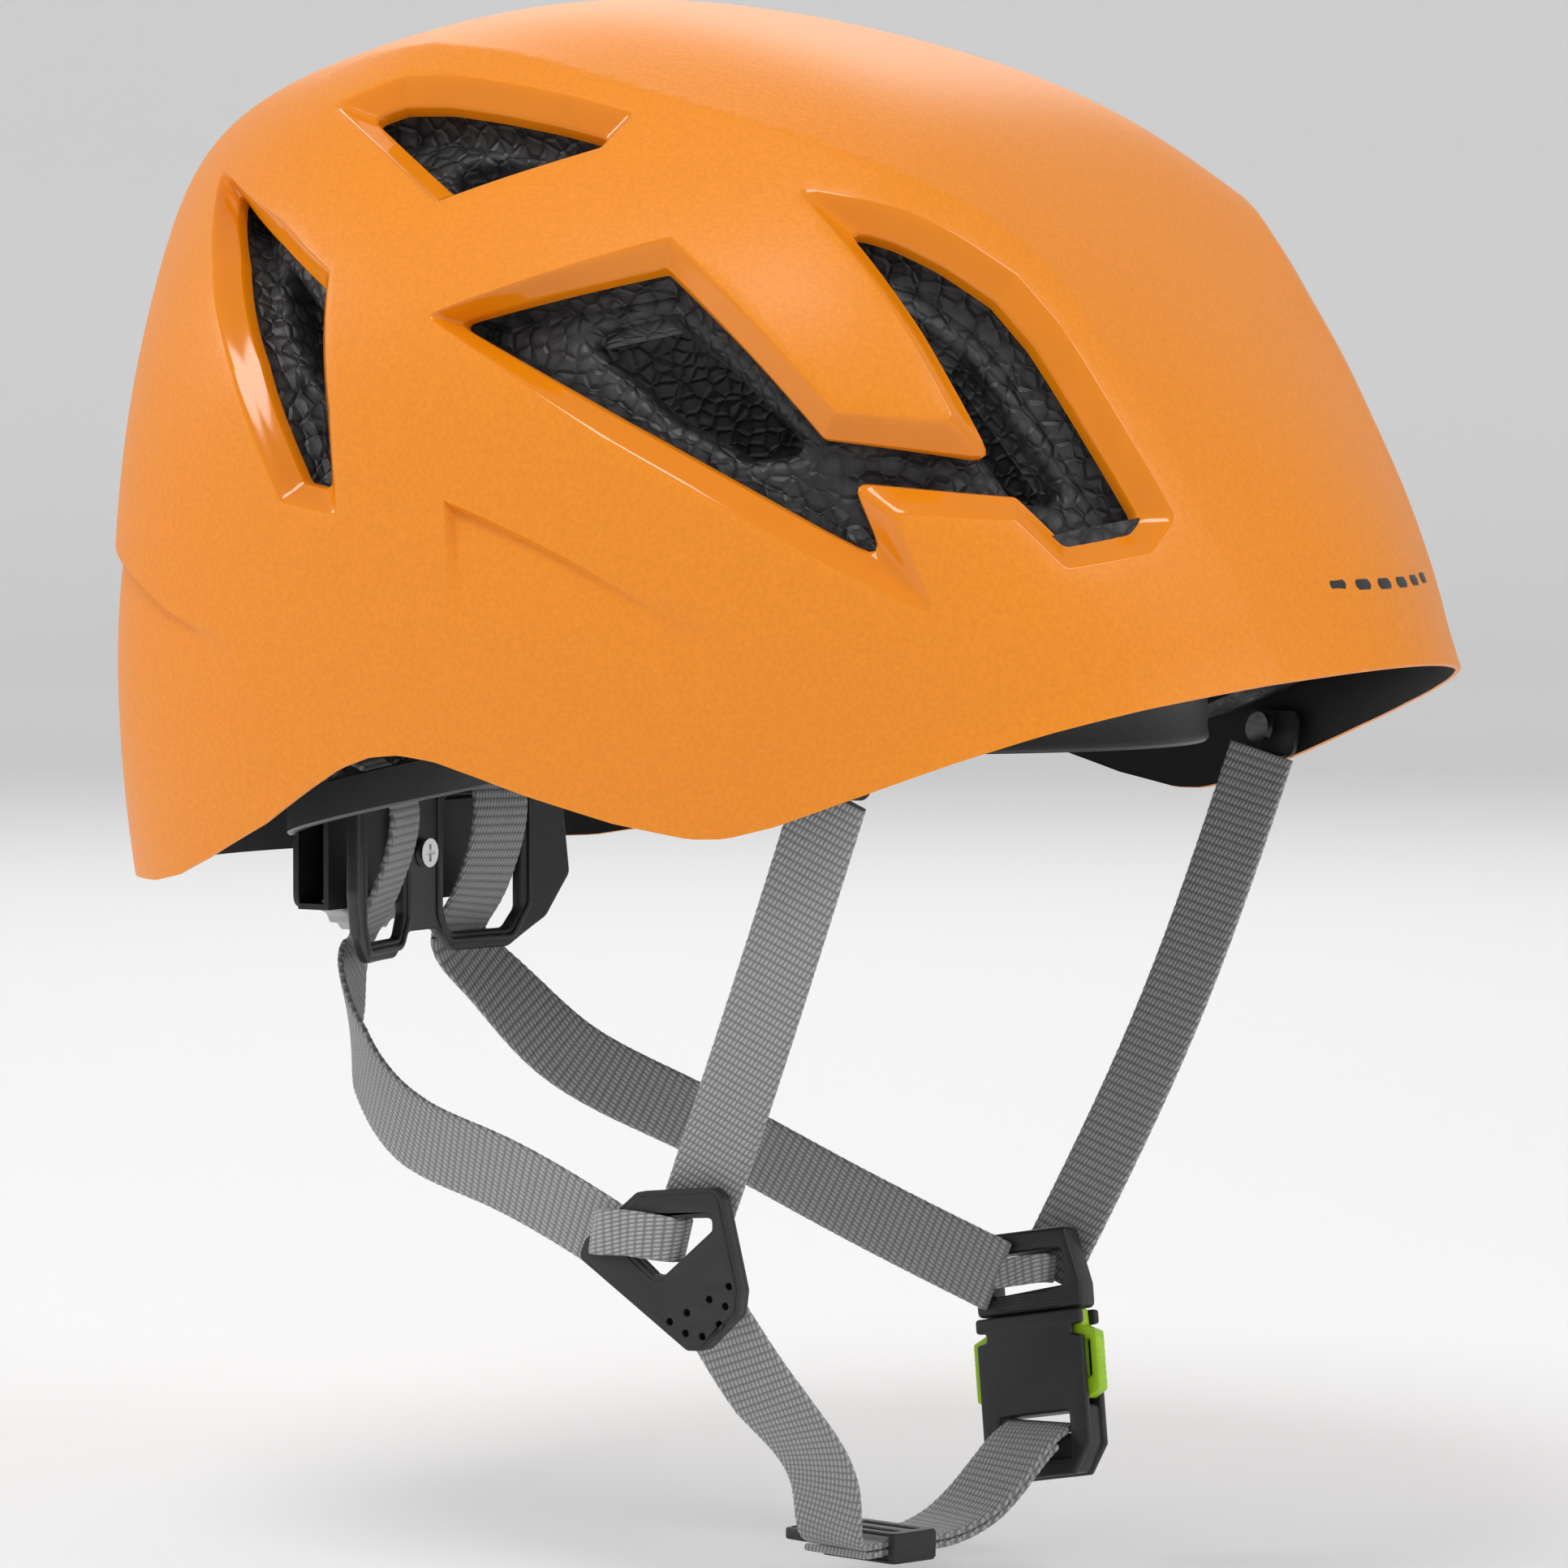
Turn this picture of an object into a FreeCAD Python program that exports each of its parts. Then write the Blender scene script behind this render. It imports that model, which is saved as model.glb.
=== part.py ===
import FreeCAD, Part
import math
import os
import Sketcher
from FreeCAD import Placement, Rotation, Vector

# Helmet frame: +X forward, +Y to the wearer's left, +Z up, millimetres.
# The origin is the middle of the head opening at the height of the brim.

doc = FreeCAD.newDocument("arborist_helmet")
sheet = doc.addObject("Spreadsheet::Sheet", "Sizes")

SIZES = (
    # shell and liner
    ("shell_length", 280), ("shell_width", 218), ("crown_height", 134),
    ("shell_wall", 2.6), ("liner_gap", 0.3), ("recess_depth", 9.5), ("liner_wall", 17.5),
    ("liner_lift", 15.5), ("vent_round", 2.5),
    # headband ring and pads
    ("ring_front", 97), ("ring_rear", 95), ("ring_side", 73), ("band_height", 22),
    ("band_wall", 1.6), ("arm_height", 8), ("arm_wall", 2.2), ("pad_thick", 6), ("part_gap", 0.4),
    ("pivot_reach", 15), ("pivot_height", -12), ("pivot_pin_radius", 2.5), ("pin_clearance", 0.06),
    ("mount_block", 12),
    # nape cradle and size adjuster
    ("cradle_radius", 78.5), ("cradle_wall", 2.5), ("cradle_half_width", 38),
    ("cradle_top", -25), ("cradle_foot", -62),
    ("adjuster_height", -40.8), ("sleeve_half_width", 31), ("sleeve_height", 20.4),
    ("sleeve_wall", 1.2), ("sleeve_depth", 7.5), ("cover_wall", 1.5),
    ("wheel_radius", 17), ("wheel_thick", 6), ("pinion_teeth", 9), ("tooth_module", 1),
    ("rack_height", 2.6), ("rack_thick", 3.2), ("screw_radius", 1.5),
    # webbing and its fittings
    ("webbing_width", 15), ("webbing_thick", 1.3), ("web_gap", 0.35),
    ("divider_wall", 4), ("buckle_width", 25), ("buckle_thick", 8.4), ("socket_length", 34),
    ("plug_length", 17), ("socket_wall", 1.9), ("prong_thick", 3.4), ("slider_length", 13),
    ("slider_thick", 6.2), ("rivet_radius", 3.2), ("rivet_head", 1.6),
)


def fill_sheet():
    for row, (name, value) in enumerate(SIZES, start=1):
        sheet.set("A%d" % row, name)
        sheet.set("B%d" % row, str(value))
        sheet.setAlias("B%d" % row, name)
    doc.recompute()


fill_sheet()


def size(name):
    return float(sheet.get(name))


nodes = []


def publish(item, name):
    item.Label = name
    nodes.append(item)
    return item


def solid_feature(name, shape):
    item = doc.addObject("Part::Feature", name)
    item.Shape = shape
    return publish(item, name)


# ---------------------------------------------------------------- dome formula
# The dome is star-shaped about DOME_CENTRE. One over its radius is a power sum of an
# ellipsoid and of flat facets, so the facets meet in rounded edges.

SHAPE_LENGTH = 279.8
SHAPE_WIDTH = 218.1
SHAPE_HEIGHT = 134.2
DOME_CENTRE = Vector(-4.6, 0, 47.4)
REACH_FRONT = 166
REACH_REAR = 156.3
REACH_SIDE = 109.1
REACH_UP = 98
REACH_DOWN = 203
PLAN_POWER = 2.15
RISE_POWER = 2.12
EDGE_POWER = 13
FACETS = (
    # azimuth, elevation, distance from the centre; mirrored unless on the centre plane
    (136.8, 21.1, 120.2), (143.3, 73, 98.5), (73.7, 51, 98.9), (0, 43.2, 99),
    (25.9, 22.4, 124.3), (0, 75, 85.7), (158, -0.9, 125.4),
)


def scales():
    return Vector(size("shell_length") / SHAPE_LENGTH, size("shell_width") / SHAPE_WIDTH,
                  size("crown_height") / SHAPE_HEIGHT)


def scaled(point):
    factor = scales()
    return Vector(point.x * factor.x, point.y * factor.y, point.z * factor.z)


def unit(azimuth, elevation):
    flat = math.cos(math.radians(elevation))
    turn = math.radians(azimuth)
    return Vector(flat * math.cos(turn), flat * math.sin(turn), math.sin(math.radians(elevation)))


def facet_normals():
    normals = []
    for azimuth, elevation, distance in FACETS:
        for side in ((1,) if azimuth == 0 else (1, -1)):
            normals.append(unit(side * azimuth, elevation) / distance)
    return normals


FACET_NORMALS = facet_normals()


def dome_radius(way):
    reach_x = REACH_FRONT if way.x > 0 else REACH_REAR
    reach_z = REACH_UP if way.z > 0 else REACH_DOWN
    plan = (abs(way.x / reach_x) ** PLAN_POWER + abs(way.y / REACH_SIDE) ** PLAN_POWER)
    rise = plan ** (RISE_POWER / PLAN_POWER) + abs(way.z / reach_z) ** RISE_POWER
    total = rise ** (EDGE_POWER / RISE_POWER)
    for normal in FACET_NORMALS:
        total += max(normal.dot(way), 0) ** EDGE_POWER
    return total ** (-1 / EDGE_POWER)


def outer_point(across, along):
    """Outer surface at stereographic plan coordinates, seen from straight above."""
    spread = across ** 2 + along ** 2
    way = Vector(2 * across, 2 * along, 1 - spread) / (1 + spread)
    return scaled(DOME_CENTRE + way * dome_radius(way))


STEP = 1e-3


def dome_point(across, along, depth):
    """Point at a depth under the outer surface, with the outward normal."""
    point = outer_point(across, along)
    run = outer_point(across + STEP, along) - point
    rise = outer_point(across, along + STEP) - point
    normal = run.cross(rise).normalize()
    return point - normal * depth, normal


def wall_point(azimuth, elevation, depth):
    reach = math.tan(math.radians(90 - elevation) / 2)
    turn = math.radians(azimuth)
    return dome_point(reach * math.cos(turn), reach * math.sin(turn), depth)


PATCH_HALF_ANGLE = 133
PATCH_STEPS = 56


def dome_patch(depth):
    """One smooth face at a depth under the outer surface, reaching below the rim."""
    marks = []
    for index in range(PATCH_STEPS + 1):
        angle = PATCH_HALF_ANGLE * (2 * index / PATCH_STEPS - 1)
        marks.append(math.tan(math.radians(angle) / 2))
    grid = [[dome_point(across, along, depth)[0] for along in marks] for across in marks]
    surface = Part.BSplineSurface()
    surface.interpolate(grid)
    return surface.toShape()


def dome_wall(outer_depth, inner_depth):
    outer = dome_patch(outer_depth)
    inner = dome_patch(inner_depth)
    faces = [outer, inner]
    for edge, partner in zip(outer.Edges, inner.Edges):
        faces.append(Part.makeRuledSurface(edge, partner))
    skin = Part.makeShell(faces)
    skin.sewShape()
    wall = Part.makeSolid(skin)
    if wall.Volume < 0:
        wall.reverse()
    return wall


# ---------------------------------------------------------------- outlines

def rounded_wire(corners, radius):
    """Closed planar wire through the corners, each rounded by a tangent arc."""
    count = len(corners)
    cuts = []
    for index, corner in enumerate(corners):
        back = corners[index - 1] - corner
        ahead = corners[(index + 1) % count] - corner
        half = back.getAngle(ahead) / 2
        run = min(radius / math.tan(half), 0.42 * back.Length, 0.42 * ahead.Length)
        real = run * math.tan(half)
        bisector = (back.normalize() + ahead.normalize()).normalize()
        middle = corner + bisector * (real / math.sin(half) - real)
        cuts.append((corner + back * run, middle, corner + ahead * run))
    edges = []
    for index, (start, middle, end) in enumerate(cuts):
        edges.append(Part.Arc(start, middle, end).toShape())
        edges.append(Part.LineSegment(end, cuts[(index + 1) % count][0]).toShape())
    return Part.Wire(Part.__sortEdges__(edges))


def plate(outline, radius, start, thick, lay):
    """Prism of a rounded outline; lay turns plan points and a height into helmet points."""
    corners = [lay(a, b, start) for a, b in outline]
    face = Part.Face(rounded_wire(corners, radius))
    return face.extrude(lay(0, 0, start + thick) - lay(0, 0, start))


def side_lay(along, up, across):
    return Vector(along, across, up)


def rear_lay(across, up, along):
    return Vector(along, across, up)


RIM = ((-150, -43), (-80, -43.5), (-19, -12), (51, -31), (102, -11), (154, 4))
RIM_ROUND = 16


def rim_keeper(lift):
    """Everything above the rim line, which is one side-view outline for both sides."""
    top = 260
    half = size("shell_width")
    factor = scales()
    line = [(x * factor.x, z * factor.z + lift) for x, z in RIM]
    outline = line + [(line[-1][0], top), (line[0][0], top)]
    return plate(outline, RIM_ROUND, -half, 2 * half, side_lay)


# ---------------------------------------------------------------- vents
# Corners are azimuth and elevation seen from the dome's centre, on the right side.

TOP_VENT = ((-117, 37.8), (-113.5, 40), (-101, 41), (-73, 35.2), (-94.5, 27))
REAR_SIDE_VENT = ((-135, 26.6), (-115.6, 19.9), (-105.5, 14), (-104, 2), (-103.2, -6.5),
                  (-107, -5), (-116, 10), (-124, 19))
FLASH_VENT = ((-89, 11.8), (-65, 17.9), (-50.6, -1), (-35.2, -2.1), (-46.6, 21),
              (-37, 16.3), (-31, 12), (-23.3, -6.4), (-30.8, -7.9), (-34.6, -4.5),
              (-48.9, -3.6), (-45.6, -10.7), (-51.3, -7.7))
BACK_VENT = ((-149, 6.5), (-172, 8.5), (-174, 2.5), (-151, -1.5))
VENTS = (TOP_VENT, REAR_SIDE_VENT, FLASH_VENT, BACK_VENT)

TOP_HOLE = ((-99, 38), (-80, 35.8), (-91, 30))
REAR_SIDE_HOLE = ((-123, 20), (-110.5, 13.5), (-107, 2), (-116, 11))
FLASH_REAR_HOLE = ((-74, 12.5), (-65, 14.5), (-52.5, -2.5), (-58.5, -3))
FLASH_FRONT_HOLE = ((-43, 15.5), (-33, 10), (-27, -3.5), (-32.5, -4))
BACK_HOLE = ((-152, 5), (-169, 6.5), (-171, 3.5), (-154, 0.5))
HOLES = (TOP_HOLE, REAR_SIDE_HOLE, FLASH_REAR_HOLE, FLASH_FRONT_HOLE, BACK_HOLE)

CUTTER_REACH = 240
CUTTER_START = 0.2


def vent_cutter(outline, side):
    ways = [unit(azimuth * side, elevation) for azimuth, elevation in outline]
    middle = Vector()
    for way in ways:
        middle += way
    middle.normalize()
    rings = []
    for reach in (CUTTER_START * CUTTER_REACH, CUTTER_REACH):
        corners = [DOME_CENTRE + way * (reach / way.dot(middle)) for way in ways]
        round_here = size("vent_round") * reach / REACH_SIDE
        rings.append(rounded_wire([scaled(corner) for corner in corners], round_here))
    return Part.makeLoft(rings, True, True)


def cutters(outlines):
    return [vent_cutter(outline, side) for outline in outlines for side in (1, -1)]


def biggest(shape):
    return max(shape.Solids, key=lambda piece: piece.Volume)


def make_shell():
    wall = dome_wall(0, size("shell_wall")).common(rim_keeper(0))
    return solid_feature("outer_shell", biggest(wall.cut(cutters(VENTS))))


def make_liner():
    """Foam liner: each vent is a recess in the foam with a smaller hole on through it."""
    skin = size("shell_wall") + size("liner_gap")
    floor = skin + size("recess_depth")
    inside = skin + size("liner_wall")
    keeper = rim_keeper(size("liner_lift"))
    body = dome_wall(skin, inside).common(keeper)
    layer = dome_wall(-2, floor)
    pockets = [cutter.common(layer) for cutter in cutters(VENTS)]
    return solid_feature("eps_liner", biggest(body.cut(pockets).cut(cutters(HOLES))))


def make_liner_studs():
    """Press studs that hold the liner in the shell, at four places near the rim."""
    start = size("shell_wall")
    studs = []
    for azimuth, elevation in ((20, -12), (-20, -12), (160, -15), (-160, -15)):
        point, normal = wall_point(azimuth, elevation, start)
        studs.append(Part.makeCylinder(size("rivet_radius"), size("liner_gap"), point, normal * -1))
    return solid_feature("liner_studs", Part.makeCompound(studs))


def make_crown_pad():
    inside = size("shell_wall") + size("liner_gap") + size("liner_wall") + size("part_gap")
    layer = dome_wall(inside, inside + size("pad_thick"))
    half_length = 46
    half_width = 17
    column = plate(((-half_length, -half_width), (half_length, -half_width),
                    (half_length, half_width), (-half_length, half_width)),
                   half_width, size("crown_height") / 2, size("crown_height"),
                   lambda a, b, c: Vector(a, b, c))
    return solid_feature("crown_pad", biggest(layer.common(column)))


# ---------------------------------------------------------------- ribbons

def ribbon(points, widths, width, thick, lean=0):
    """Flat band along points; widths are the directions of its width at the points."""
    rings = []
    last = len(points) - 1
    for index, (point, across) in enumerate(zip(points, widths)):
        run = points[min(index + 1, last)] - points[max(index - 1, 0)]
        across = Vector(across) - run * (across.dot(run) / run.dot(run))
        across.normalize()
        face = run.cross(across).normalize()
        half = across * (width / 2)
        low = face * (lean - thick / 2)
        high = face * (lean + thick / 2)
        corners = [point - half + low, point + half + low, point + half + high, point - half + high]
        rings.append(Part.makePolygon(corners + corners[:1]))
    return Part.makeLoft(rings, True, True)


def ring_point(angle, grow, height):
    """Point on the oval headband ring; angle from the front, in plan."""
    turn = math.radians(angle)
    reach = size("ring_front") if math.cos(turn) > 0 else size("ring_rear")
    return Vector((reach + grow) * math.cos(turn), (size("ring_side") + grow) * math.sin(turn), height)


def ring_band(first, last, grow, height, tall, thick, steps=20):
    points = []
    for index in range(steps + 1):
        points.append(ring_point(first + (last - first) * index / steps, grow, height))
    return ribbon(points, [Vector(0, 0, 1)] * len(points), tall, thick)


BAND_HEIGHT = -3


def make_headband():
    band = ring_band(-78, 78, 0, BAND_HEIGHT, size("band_height"), size("band_wall"), 28)
    return solid_feature("front_headband", band)


def make_head_pads():
    inset = -(size("band_wall") + size("pad_thick")) / 2 - size("part_gap")
    tall = size("band_height") - 2
    brow = ring_band(-38, 38, inset, BAND_HEIGHT, tall, size("pad_thick"))
    solid_feature("brow_pad", brow)
    for name, side in (("side_pad_right", -1), ("side_pad_left", 1)):
        pad = ring_band(side * 44, side * 74, inset, BAND_HEIGHT, tall, size("pad_thick"), 8)
        solid_feature(name, pad)


def make_hook_patches():
    """Hook-and-loop patches on the outside of the headband, one on each side."""
    thick = 1.2
    outset = (size("band_wall") + thick) / 2 + 0.05
    patches = [ring_band(side * 40, side * 56, outset, BAND_HEIGHT - 3, 12, thick, 6)
               for side in (-1, 1)]
    return solid_feature("hook_patches", Part.makeCompound(patches))


# ---------------------------------------------------------------- arms and pivots

ARM_GROW = 3.2
ARM_SLOPE = 0.19


def arm_height_at(along):
    return size("pivot_height") + ARM_SLOPE * (along - size("pivot_reach"))


def arm_angles():
    """Plan angles of the pivot and of the arm's end at the adjuster's sleeve."""
    side = size("ring_side") + ARM_GROW
    front = math.degrees(math.acos(size("pivot_reach") / (size("ring_front") + ARM_GROW)))
    end = (size("sleeve_half_width") + size("part_gap") + 0.6) / side
    return front, 180 - math.degrees(math.asin(end))


def make_arms():
    front, rear = arm_angles()
    steps = 22
    for name, side in (("arm_right", -1), ("arm_left", 1)):
        points = []
        for index in range(steps + 1):
            point = ring_point(side * (front + (rear - front) * index / steps), ARM_GROW, 0)
            point.z = arm_height_at(point.x)
            points.append(point)
        strip = ribbon(points, [Vector(0, 0, 1)] * len(points), size("arm_height"), size("arm_wall"))
        eye = Part.makeCylinder(size("arm_height") * 0.75, size("arm_wall") + 1,
                                pivot_point(side, -0.5 - size("arm_wall") / 2), Vector(0, side, 0))
        hole_radius = size("pivot_pin_radius") + size("pin_clearance")
        hole = Part.makeCylinder(hole_radius, 20, pivot_point(side, -10), Vector(0, side, 0))
        solid_feature(name, strip.fuse(eye).cut(hole))


def pivot_point(side, outward):
    height = ring_point(arm_angles()[0], ARM_GROW, 0).y
    return Vector(size("pivot_reach"), side * (height + outward), size("pivot_height"))


def make_side_mounts():
    """Blocks on the inside of the shell that carry the pivot pins."""
    half = size("mount_block") / 2
    gap = size("part_gap")
    keeper = dome_wall(size("shell_wall") + 0.02, size("shell_wall") + 60)
    for name, side in (("side_mount_right", -1), ("side_mount_left", 1)):
        start = pivot_point(side, size("arm_wall") / 2 + 0.5 + gap)
        block = Part.makeBox(2 * half, 60, 1.3 * half,
                             Vector(start.x - half, 0, start.z - half * 0.65))
        if side < 0:
            block.translate(Vector(0, start.y - 60, 0))
        else:
            block.translate(Vector(0, start.y, 0))
        block = block.common(keeper)
        pin = Part.makeCylinder(size("pivot_pin_radius"), size("arm_wall") + 1 + 2 * gap,
                                pivot_point(side, size("arm_wall") / 2 + 0.5 + gap), Vector(0, -side, 0))
        cap = Part.makeCylinder(size("pivot_pin_radius") * 1.5, 1,
                                pivot_point(side, -size("arm_wall") / 2 - 0.5 - gap), Vector(0, -side, 0))
        solid_feature(name, biggest(block).fuse([pin, cap]))


# ---------------------------------------------------------------- nape cradle

SCREW_PLATE = 7.5
WINDOW_OUTER = 29


def cradle_face():
    """Rear face of the cradle's middle plate, where the adjuster sits."""
    return -size("cradle_radius") - size("cradle_wall")


def make_cradle():
    half = size("cradle_half_width")
    top = size("cradle_top")
    foot = size("cradle_foot")
    outline = [(-half, top), (half, top), (half + 2, foot + 15), (half - 3, foot + 6),
               (26, foot), (11, foot), (5, foot + 5), (-5, foot + 5), (-11, foot), (-26, foot),
               (-half + 3, foot + 6), (-half - 2, foot + 15)]
    reach = 120
    prism = plate(outline, 3, -reach, reach, rear_lay)
    tube = Part.makeCylinder(size("cradle_radius") + size("cradle_wall"), reach, Vector(0, 0, -reach + 10))
    core = Part.makeCylinder(size("cradle_radius"), reach, Vector(0, 0, -reach + 10))
    body = tube.cut(core).common(prism)
    for side in (-1, 1):
        window = [(side * SCREW_PLATE, top - 4.5), (side * WINDOW_OUTER, top - 4.5),
                  (side * WINDOW_OUTER, foot + 8), (side * (WINDOW_OUTER - 3), foot + 4),
                  (side * (SCREW_PLATE + 2), foot + 4), (side * SCREW_PLATE, foot + 9)]
        body = body.cut(plate(window, 1.5, -reach, reach, rear_lay))
    screw_hole = Part.makeCylinder(size("screw_radius") + size("pin_clearance"), reach,
                                   Vector(-reach, 0, size("adjuster_height")), Vector(1, 0, 0))
    seat = Part.makeBox(reach, reach, reach, Vector(cradle_face() - reach + 0.25, -reach / 2, foot - 20))
    return solid_feature("nape_cradle", biggest(body.cut(screw_hole).cut(seat)))


def rear_placement(along):
    """Local x across the helmet, local y up, local z to the rear, at the adjuster's axis."""
    turn = Rotation(Vector(0, -1, 0), Vector(0, 0, 1), Vector(-1, 0, 0), "XYZ")
    return Placement(Vector(along, 0, size("adjuster_height")), turn)


def origin_plane(body, role):
    return [plane for plane in body.Origin.OriginFeatures if plane.Role == role][0]


def sketch_on(body, name, role="XY_Plane", lift=0):
    sketch = body.newObject("Sketcher::SketchObject", name)
    sketch.AttachmentSupport = [(origin_plane(body, role), "")]
    sketch.MapMode = "FlatFace"
    sketch.AttachmentOffset = Placement(Vector(0, 0, lift), Rotation())
    return sketch


def draw_rectangle(sketch, width, height):
    """Rectangle centred on the sketch's origin; width and height are sheet expressions."""
    corners = ((-5, -5), (5, -5), (5, 5), (-5, 5))
    for index in range(4):
        start = Vector(*corners[index], 0)
        end = Vector(*corners[(index + 1) % 4], 0)
        sketch.addGeometry(Part.LineSegment(start, end), False)
    for index in range(4):
        sketch.addConstraint(Sketcher.Constraint("Coincident", index, 2, (index + 1) % 4, 1))
    for line, kind in ((0, "Horizontal"), (1, "Vertical"), (2, "Horizontal"), (3, "Vertical")):
        sketch.addConstraint(Sketcher.Constraint(kind, line))
    sketch.addConstraint(Sketcher.Constraint("Symmetric", 0, 1, 2, 1, -1, 1))
    for name, start, end, text in (("DistanceX", 0, 1, width), ("DistanceY", 1, 2, height)):
        sketch.addConstraint(Sketcher.Constraint(name, start, 1, start, 2, 10.0))
        sketch.setExpression("Constraints[%d]" % (sketch.ConstraintCount - 1), text)


def draw_circle(sketch, radius, centre=(0, 0)):
    """Circle whose radius is a sheet expression."""
    index = sketch.addGeometry(Part.Circle(Vector(*centre, 0), Vector(0, 0, 1), 3), False)
    sketch.addConstraint(Sketcher.Constraint("Radius", index, 3.0))
    sketch.setExpression("Constraints[%d]" % (sketch.ConstraintCount - 1), radius)
    if centre == (0, 0):
        sketch.addConstraint(Sketcher.Constraint("Coincident", index, 3, -1, 1))


def draw_polygon(sketch, corners):
    first = sketch.GeometryCount
    count = len(corners)
    for index in range(count):
        start = Vector(*corners[index], 0)
        end = Vector(*corners[(index + 1) % count], 0)
        sketch.addGeometry(Part.LineSegment(start, end), False)
    for index in range(count):
        after = first + (index + 1) % count
        sketch.addConstraint(Sketcher.Constraint("Coincident", first + index, 2, after, 1))


def pad(body, sketch, name, length):
    feature = body.newObject("PartDesign::Pad", name)
    feature.Profile = sketch
    feature.setExpression("Length", length)
    doc.recompute()
    return feature


def pocket(body, sketch, name, length=None, reverse=False):
    """Pocket from the sketch's plane; through everything when no length is given."""
    before = body.Shape.Volume
    feature = body.newObject("PartDesign::Pocket", name)
    feature.Profile = sketch
    feature.Reversed = reverse
    if length:
        feature.setExpression("Length", length)
    else:
        feature.Type = "ThroughAll"
        feature.Midplane = True
    doc.recompute()
    if not body.Shape.Volume < before - 0.01:
        raise ValueError(name + " cuts nothing")
    return feature


def new_body(name, placement):
    body = doc.addObject("PartDesign::Body", name)
    body.Placement = placement
    return publish(body, name)


def make_housing():
    """Sleeve and round case behind the cradle; the ratchet bands run inside it."""
    body = new_body("adjuster_housing", rear_placement(cradle_face()))
    outline = sketch_on(body, "housing_outline")
    draw_rectangle(outline, "2 * Sizes.sleeve_half_width", "Sizes.sleeve_height")
    pad(body, outline, "housing_block", "Sizes.sleeve_depth")
    channel = sketch_on(body, "housing_channel_outline", lift=size("sleeve_wall"))
    draw_rectangle(channel, "2 * Sizes.sleeve_half_width + 2", "Sizes.sleeve_height - 2 * Sizes.sleeve_wall")
    pocket(body, channel, "housing_channel", "Sizes.sleeve_depth", reverse=True)
    hole = sketch_on(body, "housing_hole_outline")
    draw_circle(hole, "Sizes.screw_radius + Sizes.pin_clearance")
    pocket(body, hole, "housing_hole")
    return body


def cover_place():
    return rear_placement(cradle_face() - size("sleeve_depth"))


def make_cover():
    body = new_body("housing_cover", cover_place())
    outline = sketch_on(body, "cover_outline")
    draw_rectangle(outline, "2 * Sizes.sleeve_half_width", "Sizes.sleeve_height")
    pad(body, outline, "cover_plate", "Sizes.cover_wall")
    hole = sketch_on(body, "cover_hole_outline")
    draw_circle(hole, "Sizes.screw_radius + 2 * Sizes.tooth_module + Sizes.pin_clearance")
    pocket(body, hole, "cover_hole")
    return body


def wheel_start():
    return cradle_face() - size("sleeve_depth") - size("cover_wall") - size("part_gap")


GRIP_SCALLOPS = 16


def make_wheel():
    body = new_body("adjuster_wheel", rear_placement(wheel_start()))
    outline = sketch_on(body, "wheel_outline")
    draw_circle(outline, "Sizes.wheel_radius")
    pad(body, outline, "wheel_disc", "Sizes.wheel_thick")
    scallop = sketch_on(body, "scallop_outline")
    draw_circle(scallop, "Sizes.wheel_radius * 0.08", (size("wheel_radius"), 0))
    grip = pocket(body, scallop, "scallop")
    pattern = body.newObject("PartDesign::PolarPattern", "grip_scallops")
    pattern.Originals = [grip]
    pattern.Axis = (origin_axis(body, "Z_Axis"), [""])
    pattern.Angle = 360
    pattern.Occurrences = GRIP_SCALLOPS
    body.Tip = pattern
    doc.recompute()
    bore = sketch_on(body, "wheel_bore_outline")
    draw_circle(bore, "Sizes.screw_radius")
    pocket(body, bore, "wheel_bore")
    return body


def origin_axis(body, role):
    return [axis for axis in body.Origin.OriginFeatures if axis.Role == role][0]


def pitch_radius():
    return size("pinion_teeth") * size("tooth_module") / 2


TOOTH_PLAY = 0.2


def tooth_corners(tip, root):
    """Half widths of one tooth at its tip and at its root, with play for running."""
    quarter = math.pi * size("tooth_module") / 4 - TOOTH_PLAY
    lean = math.tan(math.radians(20))
    return quarter - tip * lean, quarter + root * lean


def make_pinion():
    """Pinion on the wheel's hub; its shaft runs through the cover to the wheel."""
    module = size("tooth_module")
    radius = pitch_radius()
    tip, root = tooth_corners(0.85 * module, 1.1 * module)
    core_radius = radius - 1.1 * module
    thick = size("rack_thick") + 0.6
    start = cradle_face() - size("sleeve_wall") - size("part_gap")
    middle = Vector(start, 0, size("adjuster_height"))
    back = Vector(-1, 0, 0)
    body = Part.makeCylinder(core_radius, thick, middle, back)
    for index in range(int(size("pinion_teeth"))):
        tooth = Part.makePolygon([
            Vector(start, -root, core_radius - 0.6), Vector(start, -tip, radius + 0.85 * module),
            Vector(start, tip, radius + 0.85 * module), Vector(start, root, core_radius - 0.6),
            Vector(start, -root, core_radius - 0.6)])
        tooth = Part.Face(tooth).extrude(back * thick)
        tooth.rotate(Vector(), Vector(1, 0, 0), index * 360 / size("pinion_teeth"))
        tooth.translate(Vector(0, 0, size("adjuster_height")))
        body = body.fuse(tooth)
    neck = start - wheel_start()
    shaft = Part.makeCylinder(size("screw_radius") + 2 * module, neck, middle, back)
    bore = Part.makeCylinder(size("screw_radius"), neck + 1, middle, back)
    return solid_feature("pinion", body.fuse(shaft).cut(bore).removeSplitter())


RACK_TRAVEL_END = 10


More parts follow.
